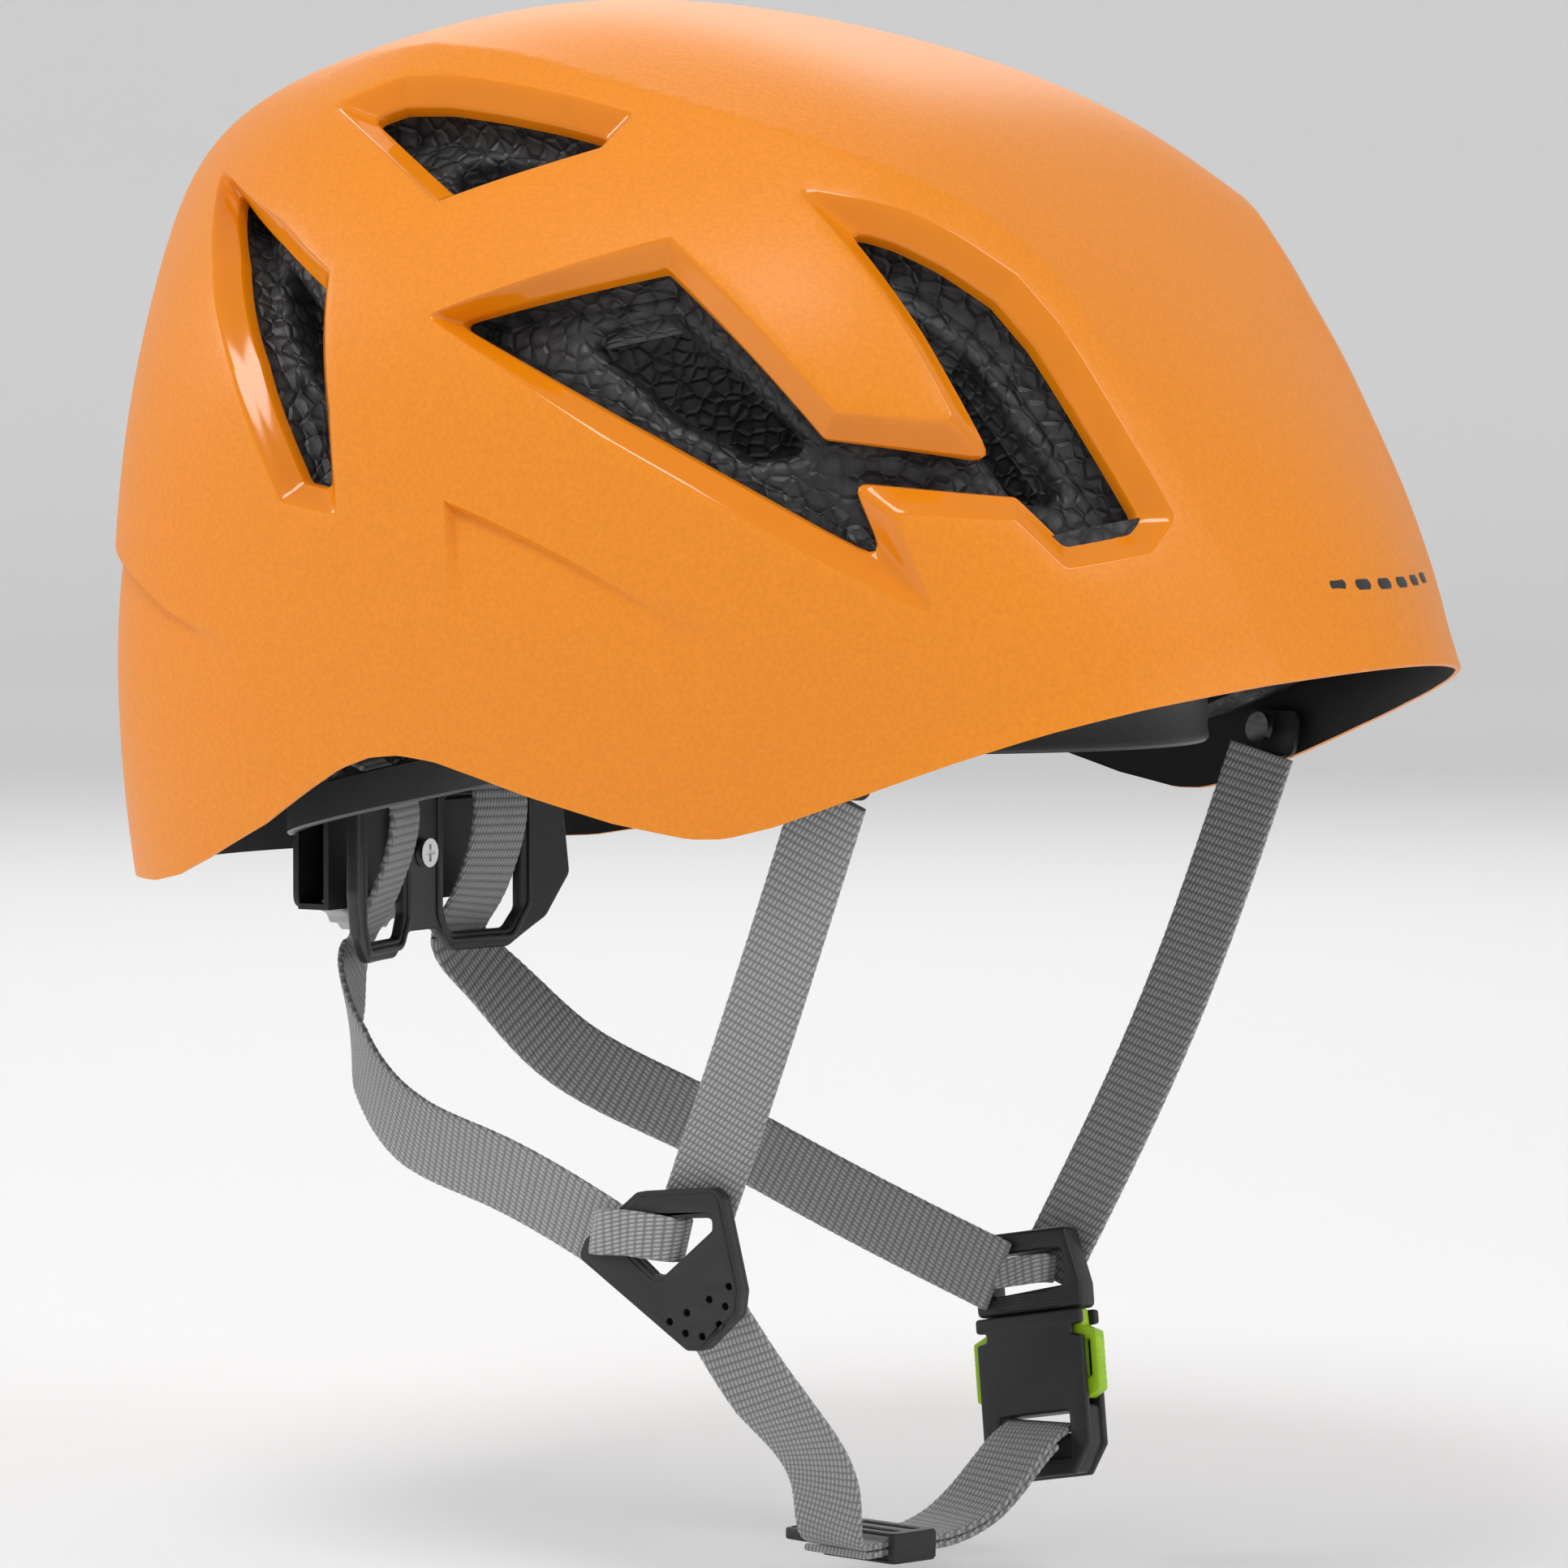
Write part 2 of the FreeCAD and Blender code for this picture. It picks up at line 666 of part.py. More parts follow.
def make_ratchet_bands():
    """Two toothed bands; the right one passes over the pinion and the left one under it."""
    module = size("tooth_module")
    pitch = math.pi * module
    tip, root = tooth_corners(0.85 * module, 1.1 * module)
    start = cradle_face() - size("sleeve_wall") - size("part_gap") - 0.3
    outer_end = size("sleeve_half_width") - 6.5
    for name, side, shift in (("ratchet_band_right", -1, pitch / 2), ("ratchet_band_left", 1, 0)):
        up = -side
        line = size("adjuster_height") + up * pitch_radius()
        low = line + up * 1.1 * module
        high = low + up * size("rack_height")
        ends = sorted((side * outer_end, -side * RACK_TRAVEL_END))
        bar = Part.makeBox(size("rack_thick"), ends[1] - ends[0], abs(high - low),
                           Vector(start - size("rack_thick"), ends[0], min(low, high)))
        teeth = []
        for index in range(-3, 4):
            middle = index * pitch + shift
            if abs(middle) > RACK_TRAVEL_END - root:
                continue
            corners = [Vector(start, middle - root, low + up * 0.3), Vector(start, middle + root, low + up * 0.3),
                       Vector(start, middle + tip, line - up * 0.85 * module),
                       Vector(start, middle - tip, line - up * 0.85 * module)]
            face = Part.Face(Part.makePolygon(corners + corners[:1]))
            teeth.append(face.extrude(Vector(-size("rack_thick"), 0, 0)))
        solid_feature(name, bar.fuse(teeth).removeSplitter())


def make_detent_spring():
    """Leaf spring lying along the top of the sleeve's channel."""
    start = cradle_face() - size("sleeve_wall") - size("part_gap") - 0.3
    height = size("adjuster_height") - size("sleeve_height") / 2 + size("sleeve_wall")
    leaf = Part.makeBox(size("rack_thick"), 16, 0.5, Vector(start - size("rack_thick"), -26, height))
    return solid_feature("detent_spring", leaf)


def make_wheel_screw():
    """Cross-head screw from the head side of the cradle into the wheel."""
    axis = size("adjuster_height")
    face = -size("cradle_radius")
    length = abs(wheel_start() - face) + size("wheel_thick") - 1
    shank = Part.makeCylinder(size("screw_radius"), length, Vector(face, 0, axis), Vector(-1, 0, 0))
    head = Part.makeCylinder(size("screw_radius") * 2, 1.6, Vector(face + 0.25, 0, axis), Vector(1, 0, 0))
    neck = Part.makeCylinder(size("screw_radius"), 0.5, Vector(face + 0.25, 0, axis), Vector(-1, 0, 0))
    slots = [Part.makeBox(1.2, 0.8, 3.6, Vector(face + 1, -0.4, axis - 1.8)),
             Part.makeBox(1.2, 3.6, 0.8, Vector(face + 1, -1.8, axis - 0.4))]
    return solid_feature("wheel_screw", shank.fuse([head, neck]).cut(slots).removeSplitter())


# ---------------------------------------------------------------- webbing fittings

DIVIDER_MIDDLE = Vector(23, -64, -112)
DIVIDER_OUTLINE = ((-20, -1), (-18.5, 2.5), (-6.6, 12.5), (10.5, 14.2), (12.6, 12.5), (17, -5.3), (16.4, -10),
                   (8.6, -17.4), (4.8, -17.6))
DIVIDER_WINDOW = ((-10.5, 7), (10.5, 8.5), (10.5, 6), (-0.5, -3.5), (-3, -3.5), (-10.5, 2.5))
DIVIDER_HOLES = ((14.4, -4.5), (10, -7.3), (13.6, -8.4), (4.9, -10.2), (12.2, -12), (1, -12.2), (4.6, -14.2),
                 (8.4, -14.6))


def make_divider():
    """Moulded plate on the right side that joins the front, rear and chin webbing."""
    turn = Rotation(Vector(1, 0, 0), Vector(0, 0, 1), Vector(0, -1, 0), "XYZ")
    body = new_body("strap_divider", Placement(DIVIDER_MIDDLE, turn))
    outline = sketch_on(body, "divider_outline")
    draw_polygon(outline, DIVIDER_OUTLINE)
    pad(body, outline, "divider_plate", "Sizes.divider_wall")
    window = sketch_on(body, "divider_window_outline")
    draw_polygon(window, DIVIDER_WINDOW)
    pocket(body, window, "divider_window")
    holes = sketch_on(body, "divider_holes_outline", lift=size("divider_wall"))
    for centre in DIVIDER_HOLES:
        draw_circle(holes, "Sizes.divider_wall * 0.18", centre)
    pocket(body, holes, "divider_holes", "Sizes.divider_wall * 0.5")
    return body


# The buckle has its own axes: wide across, up along the webbing, and thick outwards.

BUCKLE_TOP = Vector(34.8, 56, -118.5)
BUCKLE_TILT = 10
BUCKLE_LEAN = 9


def buckle_turn():
    return Rotation(Vector(0, 1, 0), -BUCKLE_TILT) * Rotation(Vector(1, 0, 0), -BUCKLE_LEAN)


def buckle_point(wide, up, thick):
    return BUCKLE_TOP + buckle_turn().multVec(Vector(wide, thick, up))


def buckle_box(low, high):
    box = Part.makeBox(high[0] - low[0], high[2] - low[2], high[1] - low[1], Vector(low[0], low[2], low[1]))
    box.Placement = Placement(BUCKLE_TOP, buckle_turn()).multiply(box.Placement)
    return box


def buckle_plate(outline, radius, low, high):
    """Prism of a buckle outline from one thickness to another."""
    return plate(outline, radius, low, high - low, buckle_point)


def make_plug():
    """Male half of the buckle; its upper frame also joins the left webbing."""
    half = size("buckle_width") / 2
    foot = -size("plug_length")
    thick = size("buckle_thick") * 0.38
    frame = buckle_plate(((-half + 3, 0), (half - 3, 0), (half, foot + 5), (half, foot), (-half, foot),
                          (-half, foot + 5), (-half - 5, foot + 8), (-half - 3, foot + 11), (-half + 2, -6)),
                         1.2, -thick, thick)
    window = buckle_plate(((-8.5, -4.5), (8.5, -4.5), (8.5, foot + 5), (-8.5, foot + 4)), 1, -9, 9)
    tongue = buckle_box((-4.6, foot - 17, -1.6), (4.6, foot + 1, 1.6))
    return solid_feature("buckle_plug", frame.cut(window).fuse(tongue).removeSplitter())


def make_prongs():
    """Spring arms of the plug with ribbed grips that stand out of the socket's sides."""
    half = size("buckle_width") / 2
    foot = -size("plug_length") - 0.1
    thick = size("prong_thick") / 2
    for name, side in (("prong_rear", -1), ("prong_front", 1)):
        outline = ((side * (half - 3.6), foot), (side * (half - 1.2), foot),
                   (side * (half - 1), foot - 3.5), (side * (half + 2.2), foot - 5),
                   (side * (half + 2.2), foot - 17), (side * (half - 0.6), foot - 18.5),
                   (side * (half - 4), foot - 18.5))
        slot = ((side * (half - 1.6), foot - 6.5), (side * (half + 0.4), foot - 6.5),
                (side * (half + 0.4), foot - 14), (side * (half - 1.6), foot - 15))
        arm = buckle_plate(outline, 0.6, -thick, thick)
        grooves = [buckle_box((side * (half + 2) - 0.5, foot - 7 - 2 * index, -5),
                              (side * (half + 2) + 0.5, foot - 6.2 - 2 * index, 5)) for index in range(5)]
        solid_feature(name, arm.cut(buckle_plate(slot, 0.5, -9, 9)).cut(grooves))


def socket_foot():
    return -size("plug_length") - size("socket_length")


def make_socket():
    """Female half: open at the sides for the prongs, with bars for the chin webbing below."""
    half = size("buckle_width") / 2
    top = -size("plug_length") - 0.3
    foot = socket_foot()
    thick = size("buckle_thick") / 2
    inner = thick - size("socket_wall")
    body = buckle_plate(((-half, top), (half, top), (half, foot + 6), (half - 4, foot), (-half + 4, foot),
                         (-half, foot + 6)), 2, -thick, thick)
    cavity = buckle_box((-half - 1, top - 19, -inner), (half + 1, top + 1, inner))
    strap_way = buckle_box((-8.2, foot + 8.5, -thick - 1), (8.2, foot + 13, thick + 1))
    strap_exit = buckle_box((-8.2, foot + 3.5, -thick - 1), (8.2, foot + 9, 1.2))
    notches = [buckle_plate(((side * half * 1.1, top - 3), (side * (half - 2.4), top - 3),
                             (side * (half - 2.4), top - 5.2), (side * half * 1.1, top - 5.2)), 0.8, -9, 9)
               for side in (-1, 1)]
    pin_hole = Part.makeCylinder(0.8, 12, buckle_point(0, top - 14, -6), buckle_turn().multVec(Vector(0, 1, 0)))
    body = body.cut([cavity, strap_way, strap_exit, pin_hole] + notches)
    return solid_feature("buckle_socket", biggest(body))


# ---------------------------------------------------------------- webbing

SLIDER_MIDDLE = Vector(33, -3, -175)
SLIDER_RUN = Vector(4, 20, -0.5)


def strap_path(points, ways, steps):
    """Points along a smooth curve through the stations, each with its width direction."""
    spline = Part.BSplineCurve()
    spline.interpolate(points)
    marks = [spline.parameter(point) for point in points]
    path = []
    widths = []
    for index in range(steps + 1):
        mark = marks[0] + (marks[-1] - marks[0]) * index / steps
        low = max(place for place in range(len(marks) - 1) if marks[place] <= mark + 1e-9)
        share = (mark - marks[low]) / (marks[low + 1] - marks[low])
        path.append(spline.value(mark))
        widths.append(ways[low] * (1 - share) + ways[low + 1] * share)
    return path, widths


def webbing(name, points, ways, steps):
    path, widths = strap_path(points, ways, steps)
    return solid_feature(name, ribbon(path, widths, size("webbing_width"), size("webbing_thick")))


def front_anchor(side):
    """Place under the shell's side where the front webbing is riveted."""
    return wall_point(side * 50, -28, size("shell_wall") + 2.5)


def rear_anchor(side):
    inside = size("shell_wall") + size("liner_gap") + size("liner_wall") + 2.2
    return wall_point(side * 160, -24, inside)


def make_front_straps():
    forward = Vector(1, 0, 0)
    for name, side, end in (("right_front_strap", -1, DIVIDER_MIDDLE + Vector(3, 3.4, 9)),
                            ("left_front_strap", 1, buckle_point(0, -9, 4.4))):
        start = front_anchor(side)[0] + Vector(0, -side * 1, -3)
        bend = start + (end - start) * 0.5 + Vector(2, side * 3, 0)
        webbing(name, [start, bend, end], [forward, forward, forward], 10)


def rear_route(side):
    """Webbing from the rear anchor, through the cradle's window and out under it."""
    radius = size("cradle_radius")
    wall = size("cradle_wall")
    top = size("cradle_top")
    foot = size("cradle_foot")
    middle = (SCREW_PLATE + WINDOW_OUTER) / 2
    return [rear_anchor(side)[0], Vector(-radius - 8, side * (middle + 5), top + 8),
            Vector(-radius + 6.5, side * middle, top - 2),
            Vector(-radius + 3.5, side * middle, (top + foot) / 2 - 3),
            Vector(-radius, side * middle, foot + 9),
            Vector(-radius - wall - 0.9, side * (middle + 0.3), foot + 3.5)]


def make_rear_straps():
    plans = (("right_rear_strap", -1,
              [Vector(-79.5, -25, -67.5), Vector(-67, -40, -80), Vector(-47, -52, -92), Vector(-24, -58, -98)],
              DIVIDER_MIDDLE + Vector(-10, 1.8, -0.5)),
             ("left_rear_strap", 1,
              [Vector(-78.5, 24, -67.5), Vector(-66, 35, -84), Vector(-44, 46, -97), Vector(-12, 52, -112)],
              buckle_point(-6, -9, -4.4)))
    for name, side, between, end in plans:
        level = Vector(0.24, side, 0)
        opening = Vector(0.3, side * 0.9, 0.3)
        turned = Vector(0.55, side * 0.5, 0.75)
        flat = Vector(0.4, side * 0.12, 0.9)
        ways = [level] * 6 + [opening, turned, flat, flat, flat]
        webbing(name, rear_route(side) + between + [end], ways, 40)


TAIL_START = 17


def make_chin_straps():
    """Chin webbing from the divider, and the doubled tail between slider and socket."""
    run = Vector(SLIDER_RUN)
    level = Vector(1, -0.2, 0)
    forward = Vector(1, 0, 0)
    in_slider = [SLIDER_MIDDLE + run * share for share in (-0.62, -0.2, 0.2, 0.62)]
    points = [DIVIDER_MIDDLE + Vector(5, 2.4, -9), Vector(34, -47, -142), Vector(34, -26, -163)] + in_slider
    points += [Vector(39.5, 24, -170.5), buckle_point(0, socket_foot() + 7.5, -8), buckle_point(0, socket_foot() + 10.3, -0.5)]
    ways = [Vector(0.95, 0, 0.3), Vector(0.9, 0.2, 0.25), forward] + [level] * 4 + [forward] * 3
    path, widths = strap_path(points, ways, 48)
    lean = size("webbing_thick") * 0.55 + 0.1
    wide, thick = size("webbing_width"), size("webbing_thick")
    solid_feature("chin_strap", ribbon(path, widths, wide, thick, -lean))
    solid_feature("chin_strap_tail", ribbon(path[TAIL_START:-3], widths[TAIL_START:-3], wide, thick, lean))


def make_slider():
    """Flat loop that keeps the doubled chin webbing together, with a pull tab."""
    run = Vector(SLIDER_RUN).normalize()
    wide = Vector(1, -0.2, 0)
    wide = (wide - run * wide.dot(run)).normalize()
    up = wide.cross(run)
    half_run = size("slider_length") / 2
    half_wide = size("webbing_width") / 2 + size("web_gap")
    bore = 2 * size("webbing_thick") + 6 * size("web_gap")

    def lay(along, across, height):
        return SLIDER_MIDDLE + run * along + wide * across + up * height

    rim = half_wide + 2
    thick = size("slider_thick")
    outline = ((-half_run, -rim), (half_run, -rim), (half_run, rim), (-half_run, rim))
    body = plate(outline, 1.5, -thick / 2, thick, lay)
    tunnel = ((-half_run - 5, -half_wide), (half_run + 5, -half_wide), (half_run + 5, half_wide),
              (-half_run - 5, half_wide))
    body = body.cut(plate(tunnel, 0.2, -bore / 2, bore, lay))
    tab = ((-half_run + 1, -rim - 11), (half_run - 5, -rim - 11), (half_run - 3, -rim + 1),
           (-half_run, -rim + 1))
    body = body.fuse(plate(tab, 1.5, -1.2, 2.4, lay))
    return solid_feature("chin_slider", body.removeSplitter())


def make_anchors():
    """Plates that the webbing ends are riveted to, inside the shell and the liner."""
    plans = (("front_anchor_right", front_anchor, -1), ("front_anchor_left", front_anchor, 1),
             ("rear_anchor_right", rear_anchor, -1), ("rear_anchor_left", rear_anchor, 1))
    rivets = []
    for name, finder, side in plans:
        point, normal = finder(side)
        inner = size("webbing_thick") / 2 + size("web_gap")
        level = Vector(0, 0, 1).cross(normal).normalize()
        rise = normal.cross(level)

        def lay(across, up, out):
            return point + level * across + rise * up + normal * out

        outline = ((-8, -4), (8, -4), (8, 5.5), (-8, 5.5))
        solid_feature(name, plate(outline, 2, inner, 0.9, lay))
        rivets.append(Part.makeCylinder(size("rivet_radius"), size("rivet_head"), lay(0, 1.5, -inner), normal * -1))
    return solid_feature("anchor_rivets", Part.makeCompound(rivets))


# ---------------------------------------------------------------- build

def build():
    make_shell()
    make_liner()
    make_liner_studs()
    make_crown_pad()
    make_headband()
    make_head_pads()
    make_hook_patches()
    make_arms()
    make_side_mounts()
    make_cradle()
    make_housing()
    make_cover()
    make_wheel()
    make_pinion()
    make_ratchet_bands()
    make_detent_spring()
    make_wheel_screw()
    make_divider()
    make_plug()
    make_prongs()
    make_socket()
    make_front_straps()
    make_rear_straps()
    make_chin_straps()
    make_slider()
    make_anchors()


def check_and_write():
    doc.recompute()
    for item in doc.Objects:
        if "Invalid" in item.State or "Error" in item.State:
            raise ValueError(item.Label + " failed to build")
    for item in nodes:
        shape = item.Shape
        if shape.isNull() or not shape.isValid() or not shape.Solids:
            raise ValueError(item.Label + " is not a valid solid")
    os.makedirs("parts", exist_ok=True)
    for item in nodes:
        item.Shape.exportStep("parts/" + item.Label + ".step")


build()
check_and_write()
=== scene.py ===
import math

import bmesh
import bpy
import numpy as np
from mathutils import Matrix, Vector, geometry


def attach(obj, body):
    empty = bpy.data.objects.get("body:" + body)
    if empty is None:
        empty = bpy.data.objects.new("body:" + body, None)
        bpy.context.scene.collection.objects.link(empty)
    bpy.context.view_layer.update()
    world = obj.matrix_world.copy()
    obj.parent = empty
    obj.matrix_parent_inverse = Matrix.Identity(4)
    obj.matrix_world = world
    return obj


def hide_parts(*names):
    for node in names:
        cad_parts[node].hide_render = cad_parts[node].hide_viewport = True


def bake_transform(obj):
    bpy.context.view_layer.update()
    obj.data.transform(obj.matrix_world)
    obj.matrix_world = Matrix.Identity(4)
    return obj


# Tree worker's helmet. Sizes are written in millimetres and turned into metres when a mesh
# is made. +X is forward, +Y is the wearer's left, +Z is up.

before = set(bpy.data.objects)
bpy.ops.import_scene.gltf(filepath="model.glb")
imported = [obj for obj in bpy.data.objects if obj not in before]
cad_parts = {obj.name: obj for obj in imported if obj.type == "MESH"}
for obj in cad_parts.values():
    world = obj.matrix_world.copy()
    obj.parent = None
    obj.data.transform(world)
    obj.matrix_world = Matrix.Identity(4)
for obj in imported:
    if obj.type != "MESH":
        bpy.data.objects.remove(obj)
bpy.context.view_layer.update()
MM = 0.001
SHELL = "shell_and_liner"


# ------------------------------------------------------------------ materials

def bare(name, colour, rough, metal=0.0):
    material = bpy.data.materials.new(name)
    material.use_nodes = True
    shader = material.node_tree.nodes["Principled BSDF"]
    shader.inputs["Base Color"].default_value = (*colour, 1)
    shader.inputs["Roughness"].default_value = rough
    shader.inputs["Metallic"].default_value = metal
    return material, material.node_tree.nodes, material.node_tree.links, shader


def coordinates(nodes, kind="Object"):
    return nodes.new("ShaderNodeTexCoord").outputs[kind]


def ramp_between(nodes, links, source, low, high, first, last):
    ramp = nodes.new("ShaderNodeValToRGB")
    ramp.color_ramp.elements[0].position = low
    ramp.color_ramp.elements[1].position = high
    ramp.color_ramp.elements[0].color = (*first, 1)
    ramp.color_ramp.elements[1].color = (*last, 1)
    links.new(source, ramp.inputs["Fac"])
    return ramp.outputs["Color"]


def noise(nodes, links, scale, detail=2, where=None):
    texture = nodes.new("ShaderNodeTexNoise")
    texture.inputs["Scale"].default_value = scale
    texture.inputs["Detail"].default_value = detail
    links.new(where if where is not None else coordinates(nodes), texture.inputs["Vector"])
    return texture.outputs["Fac"]


def bump(nodes, links, shader, height, strength, distance, under=None):
    node = nodes.new("ShaderNodeBump")
    node.inputs["Strength"].default_value = strength
    node.inputs["Distance"].default_value = distance * MM
    links.new(height, node.inputs["Height"])
    if under is not None:
        links.new(under, node.inputs["Normal"])
    links.new(node.outputs["Normal"], shader.inputs["Normal"])
    return node.outputs["Normal"]


def moulded(name, colour, rough, grain=900, strength=0.35, depth=0.12, shade=0.12):
    """Moulded plastic with a fine erosion grain and a slight change of tone."""
    material, nodes, links, shader = bare(name, colour, rough)
    fine = noise(nodes, links, grain)
    bump(nodes, links, shader, fine, strength, depth)
    dark = tuple(part * (1 - shade) for part in colour)
    links.new(ramp_between(nodes, links, fine, 0.35, 0.65, dark, colour), shader.inputs["Base Color"])
    return material


def bead_foam():
    """Expanded foam: packed beads with sunken seams between them, each bead painted lighter in its middle and darker
    towards its seams as painted shade.
    """
    material, nodes, links, shader = bare("bead_foam", (0.016, 0.016, 0.017), 0.45)
    where = coordinates(nodes)
    cells = nodes.new("ShaderNodeTexVoronoi")
    cells.feature = "DISTANCE_TO_EDGE"
    cells.inputs["Scale"].default_value = 300
    cells.inputs["Randomness"].default_value = 0.85
    links.new(where, cells.inputs["Vector"])
    faces = nodes.new("ShaderNodeTexVoronoi")
    faces.inputs["Scale"].default_value = 300
    faces.inputs["Randomness"].default_value = 0.85
    links.new(where, faces.inputs["Vector"])
    # painted shade: each bead's colour darkens from its middle out to the seams between beads
    tone = ramp_between(nodes, links, faces.outputs["Distance"], 0.1, 0.8, (0.042, 0.042, 0.045), (0.008, 0.008, 0.009))
    links.new(tone, shader.inputs["Base Color"])
    rise = nodes.new("ShaderNodeValToRGB")
    rise.color_ramp.elements[1].position = 0.22
    links.new(cells.outputs["Distance"], rise.inputs["Fac"])
    first = bump(nodes, links, shader, rise.outputs["Color"], 0.6, 0.5)
    bump(nodes, links, shader, noise(nodes, links, 1500, 3, where), 0.35, 0.15, first)
    return material


def woven(name, light, dark):
    """Ribbed webbing, with painted shade: its colour is darker in the grooves between the ribs and lighter on their
    tops. The UV map runs in millimetres: U across the width, V along the length.
    """
    material, nodes, links, shader = bare(name, light, 0.62)
    where = coordinates(nodes, "UV")
    split = nodes.new("ShaderNodeSeparateXYZ")
    links.new(where, split.inputs["Vector"])

    def math_node(kind, first, second):
        node = nodes.new("ShaderNodeMath")
        node.operation = kind
        for socket, value in zip(node.inputs, (first, second)):
            if isinstance(value, (int, float)):
                socket.default_value = value
            else:
                links.new(value, socket)
        return node.outputs["Value"]

    across, along = split.outputs["X"], split.outputs["Y"]
    slant = math_node("ADD", math_node("MULTIPLY", across, 7.4), math_node("MULTIPLY", along, 1.75))
    yarn = math_node("SINE", slant, 0)
    row = math_node("ABSOLUTE", math_node("SINE", math_node("MULTIPLY", along, RIB_TURN), 0), 0)
    weave = math_node("MULTIPLY", row, math_node("ADD", math_node("MULTIPLY", yarn, 0.5), 0.6))
    # painted shade: the colour follows the rib height, dark in the grooves between ribs and light on the rib tops
    links.new(ramp_between(nodes, links, weave, 0.05, 0.75, dark, light), shader.inputs["Base Color"])
    bump(nodes, links, shader, weave, 0.7, 0.25)
    shader.inputs["Sheen Weight"].default_value = 0.25
    return material


def knitted(name, colour):
    material, nodes, links, shader = bare(name, colour, 0.9)
    loops = nodes.new("ShaderNodeTexVoronoi")
    loops.inputs["Scale"].default_value = 900
    links.new(coordinates(nodes), loops.inputs["Vector"])
    bump(nodes, links, shader, loops.outputs["Distance"], 0.6, 0.3)
    shader.inputs["Sheen Weight"].default_value = 0.4
    return material


RIB_PITCH = 1.8
RIB_TURN = math.pi / RIB_PITCH

ORANGE = (0.87, 0.262, 0.002)
SHELL_SKIN = moulded("shell_orange_grained", ORANGE, 0.46, 1100, 0.42, 0.13, 0.08)
LIP_GLOSS = moulded("shell_orange_glossy", (0.80, 0.235, 0.003), 0.1, 120, 0.05, 0.05, 0.03)
SHELL_INSIDE = moulded("shell_inside_black", (0.012, 0.012, 0.012), 0.5)
BEADS = bead_foam()
NYLON = moulded("nylon_dark_grey", (0.022, 0.022, 0.023), 0.42, 1400, 0.5, 0.12, 0.2)
SATIN = moulded("nylon_satin_grey", (0.055, 0.055, 0.058), 0.4, 700, 0.2, 0.06, 0.1)
BLACK = moulded("fitting_black", (0.016, 0.016, 0.017), 0.45, 1300, 0.35, 0.1, 0.15)
WHEEL_GREY = moulded("wheel_grey", (0.45, 0.46, 0.47), 0.4)
LIME = moulded("prong_lime", (0.42, 0.72, 0.012), 0.28, 300, 0.1, 0.05, 0.1)
PRINT = moulded("print_dark_grey", (0.02, 0.02, 0.022), 0.5)
STEEL = bare("steel_screw", (0.75, 0.75, 0.76), 0.16, 1.0)[0]
# The second colour is the painted shade in the grooves between the webbing's ribs.
WEBBING = woven("webbing_grey", (0.42, 0.42, 0.43), (0.16, 0.16, 0.165))
HOOK_TAPE = knitted("hook_tape_black", (0.01, 0.01, 0.01))
PAD_CLOTH = knitted("pad_cloth_black", (0.016, 0.016, 0.017))


# ------------------------------------------------------------------ mesh helpers

def make_object(name, points, faces, materials, marks=None, smooth=35):
    """Mesh object from points in millimetres. marks are material numbers, one per face."""
    mesh = bpy.data.meshes.new(name)
    mesh.from_pydata([tuple(float(c) * MM for c in p) for p in points], [], [tuple(map(int, f)) for f in faces])
    for material in materials if isinstance(materials, (list, tuple)) else [materials]:
        mesh.materials.append(material)
    if marks is not None:
        mesh.polygons.foreach_set("material_index", [int(m) for m in marks])
    mesh.validate()
    return finish_mesh(name, mesh, smooth)


def finish_mesh(name, mesh, smooth=35):
    thing = bpy.data.objects.new(name, mesh)
    bpy.context.scene.collection.objects.link(thing)
    smooth_by_angle(mesh, smooth)
    return thing


def smooth_by_angle(mesh, angle):
    mesh.polygons.foreach_set("use_smooth", [True] * len(mesh.polygons))
    mesh.set_sharp_from_angle(angle=math.radians(angle))


def bake(thing, *modifiers, smooth=35):
    """Adds modifiers, given as (type, {setting: value}), and makes the result a plain mesh."""
    for kind, settings in modifiers:
        modifier = thing.modifiers.new(kind.lower(), kind)
        for key, value in settings.items():
            setattr(modifier, key, value)
    bpy.context.view_layer.update()
    baked = bpy.data.meshes.new_from_object(thing.evaluated_get(bpy.context.evaluated_depsgraph_get()))
    thing.modifiers.clear()
    thing.data = baked
    smooth_by_angle(baked, smooth)
    return thing


def tidy(thing, gap=0.004, outward=True, smooth=35):
    work = bmesh.new()
    work.from_mesh(thing.data)
    bmesh.ops.remove_doubles(work, verts=work.verts, dist=gap * MM)
    bmesh.ops.dissolve_degenerate(work, edges=work.edges, dist=1e-6)
    if outward:
        bmesh.ops.recalc_face_normals(work, faces=work.faces)
    work.to_mesh(thing.data)
    work.free()
    smooth_by_angle(thing.data, smooth)
    return thing


def join(name, things, smooth=35):
    """One object from several, keeping their materials."""
    materials, work = [], bmesh.new()
    for thing in things:
        start = len(work.faces)
        work.from_mesh(thing.data)
        work.faces.ensure_lookup_table()
        for face in work.faces[start:]:
            material = thing.data.materials[face.material_index]
            if material not in materials:
                materials.append(material)
            face.material_index = materials.index(material)
    mesh = bpy.data.meshes.new(name)
    work.to_mesh(mesh)
    work.free()
    for material in materials:
        mesh.materials.append(material)
    for thing in things:
        bpy.data.objects.remove(thing)
    return finish_mesh(name, mesh, smooth)


SIDE_SHARE = 0.44        # the most of a side that one rounded turn takes
SHARPEST_HALF = 0.05     # radians, the smallest half angle of a turn
STRAIGHT_HALF = 1.56     # radians, past this the line runs straight on
STRAIGHT_RUN = 0.01


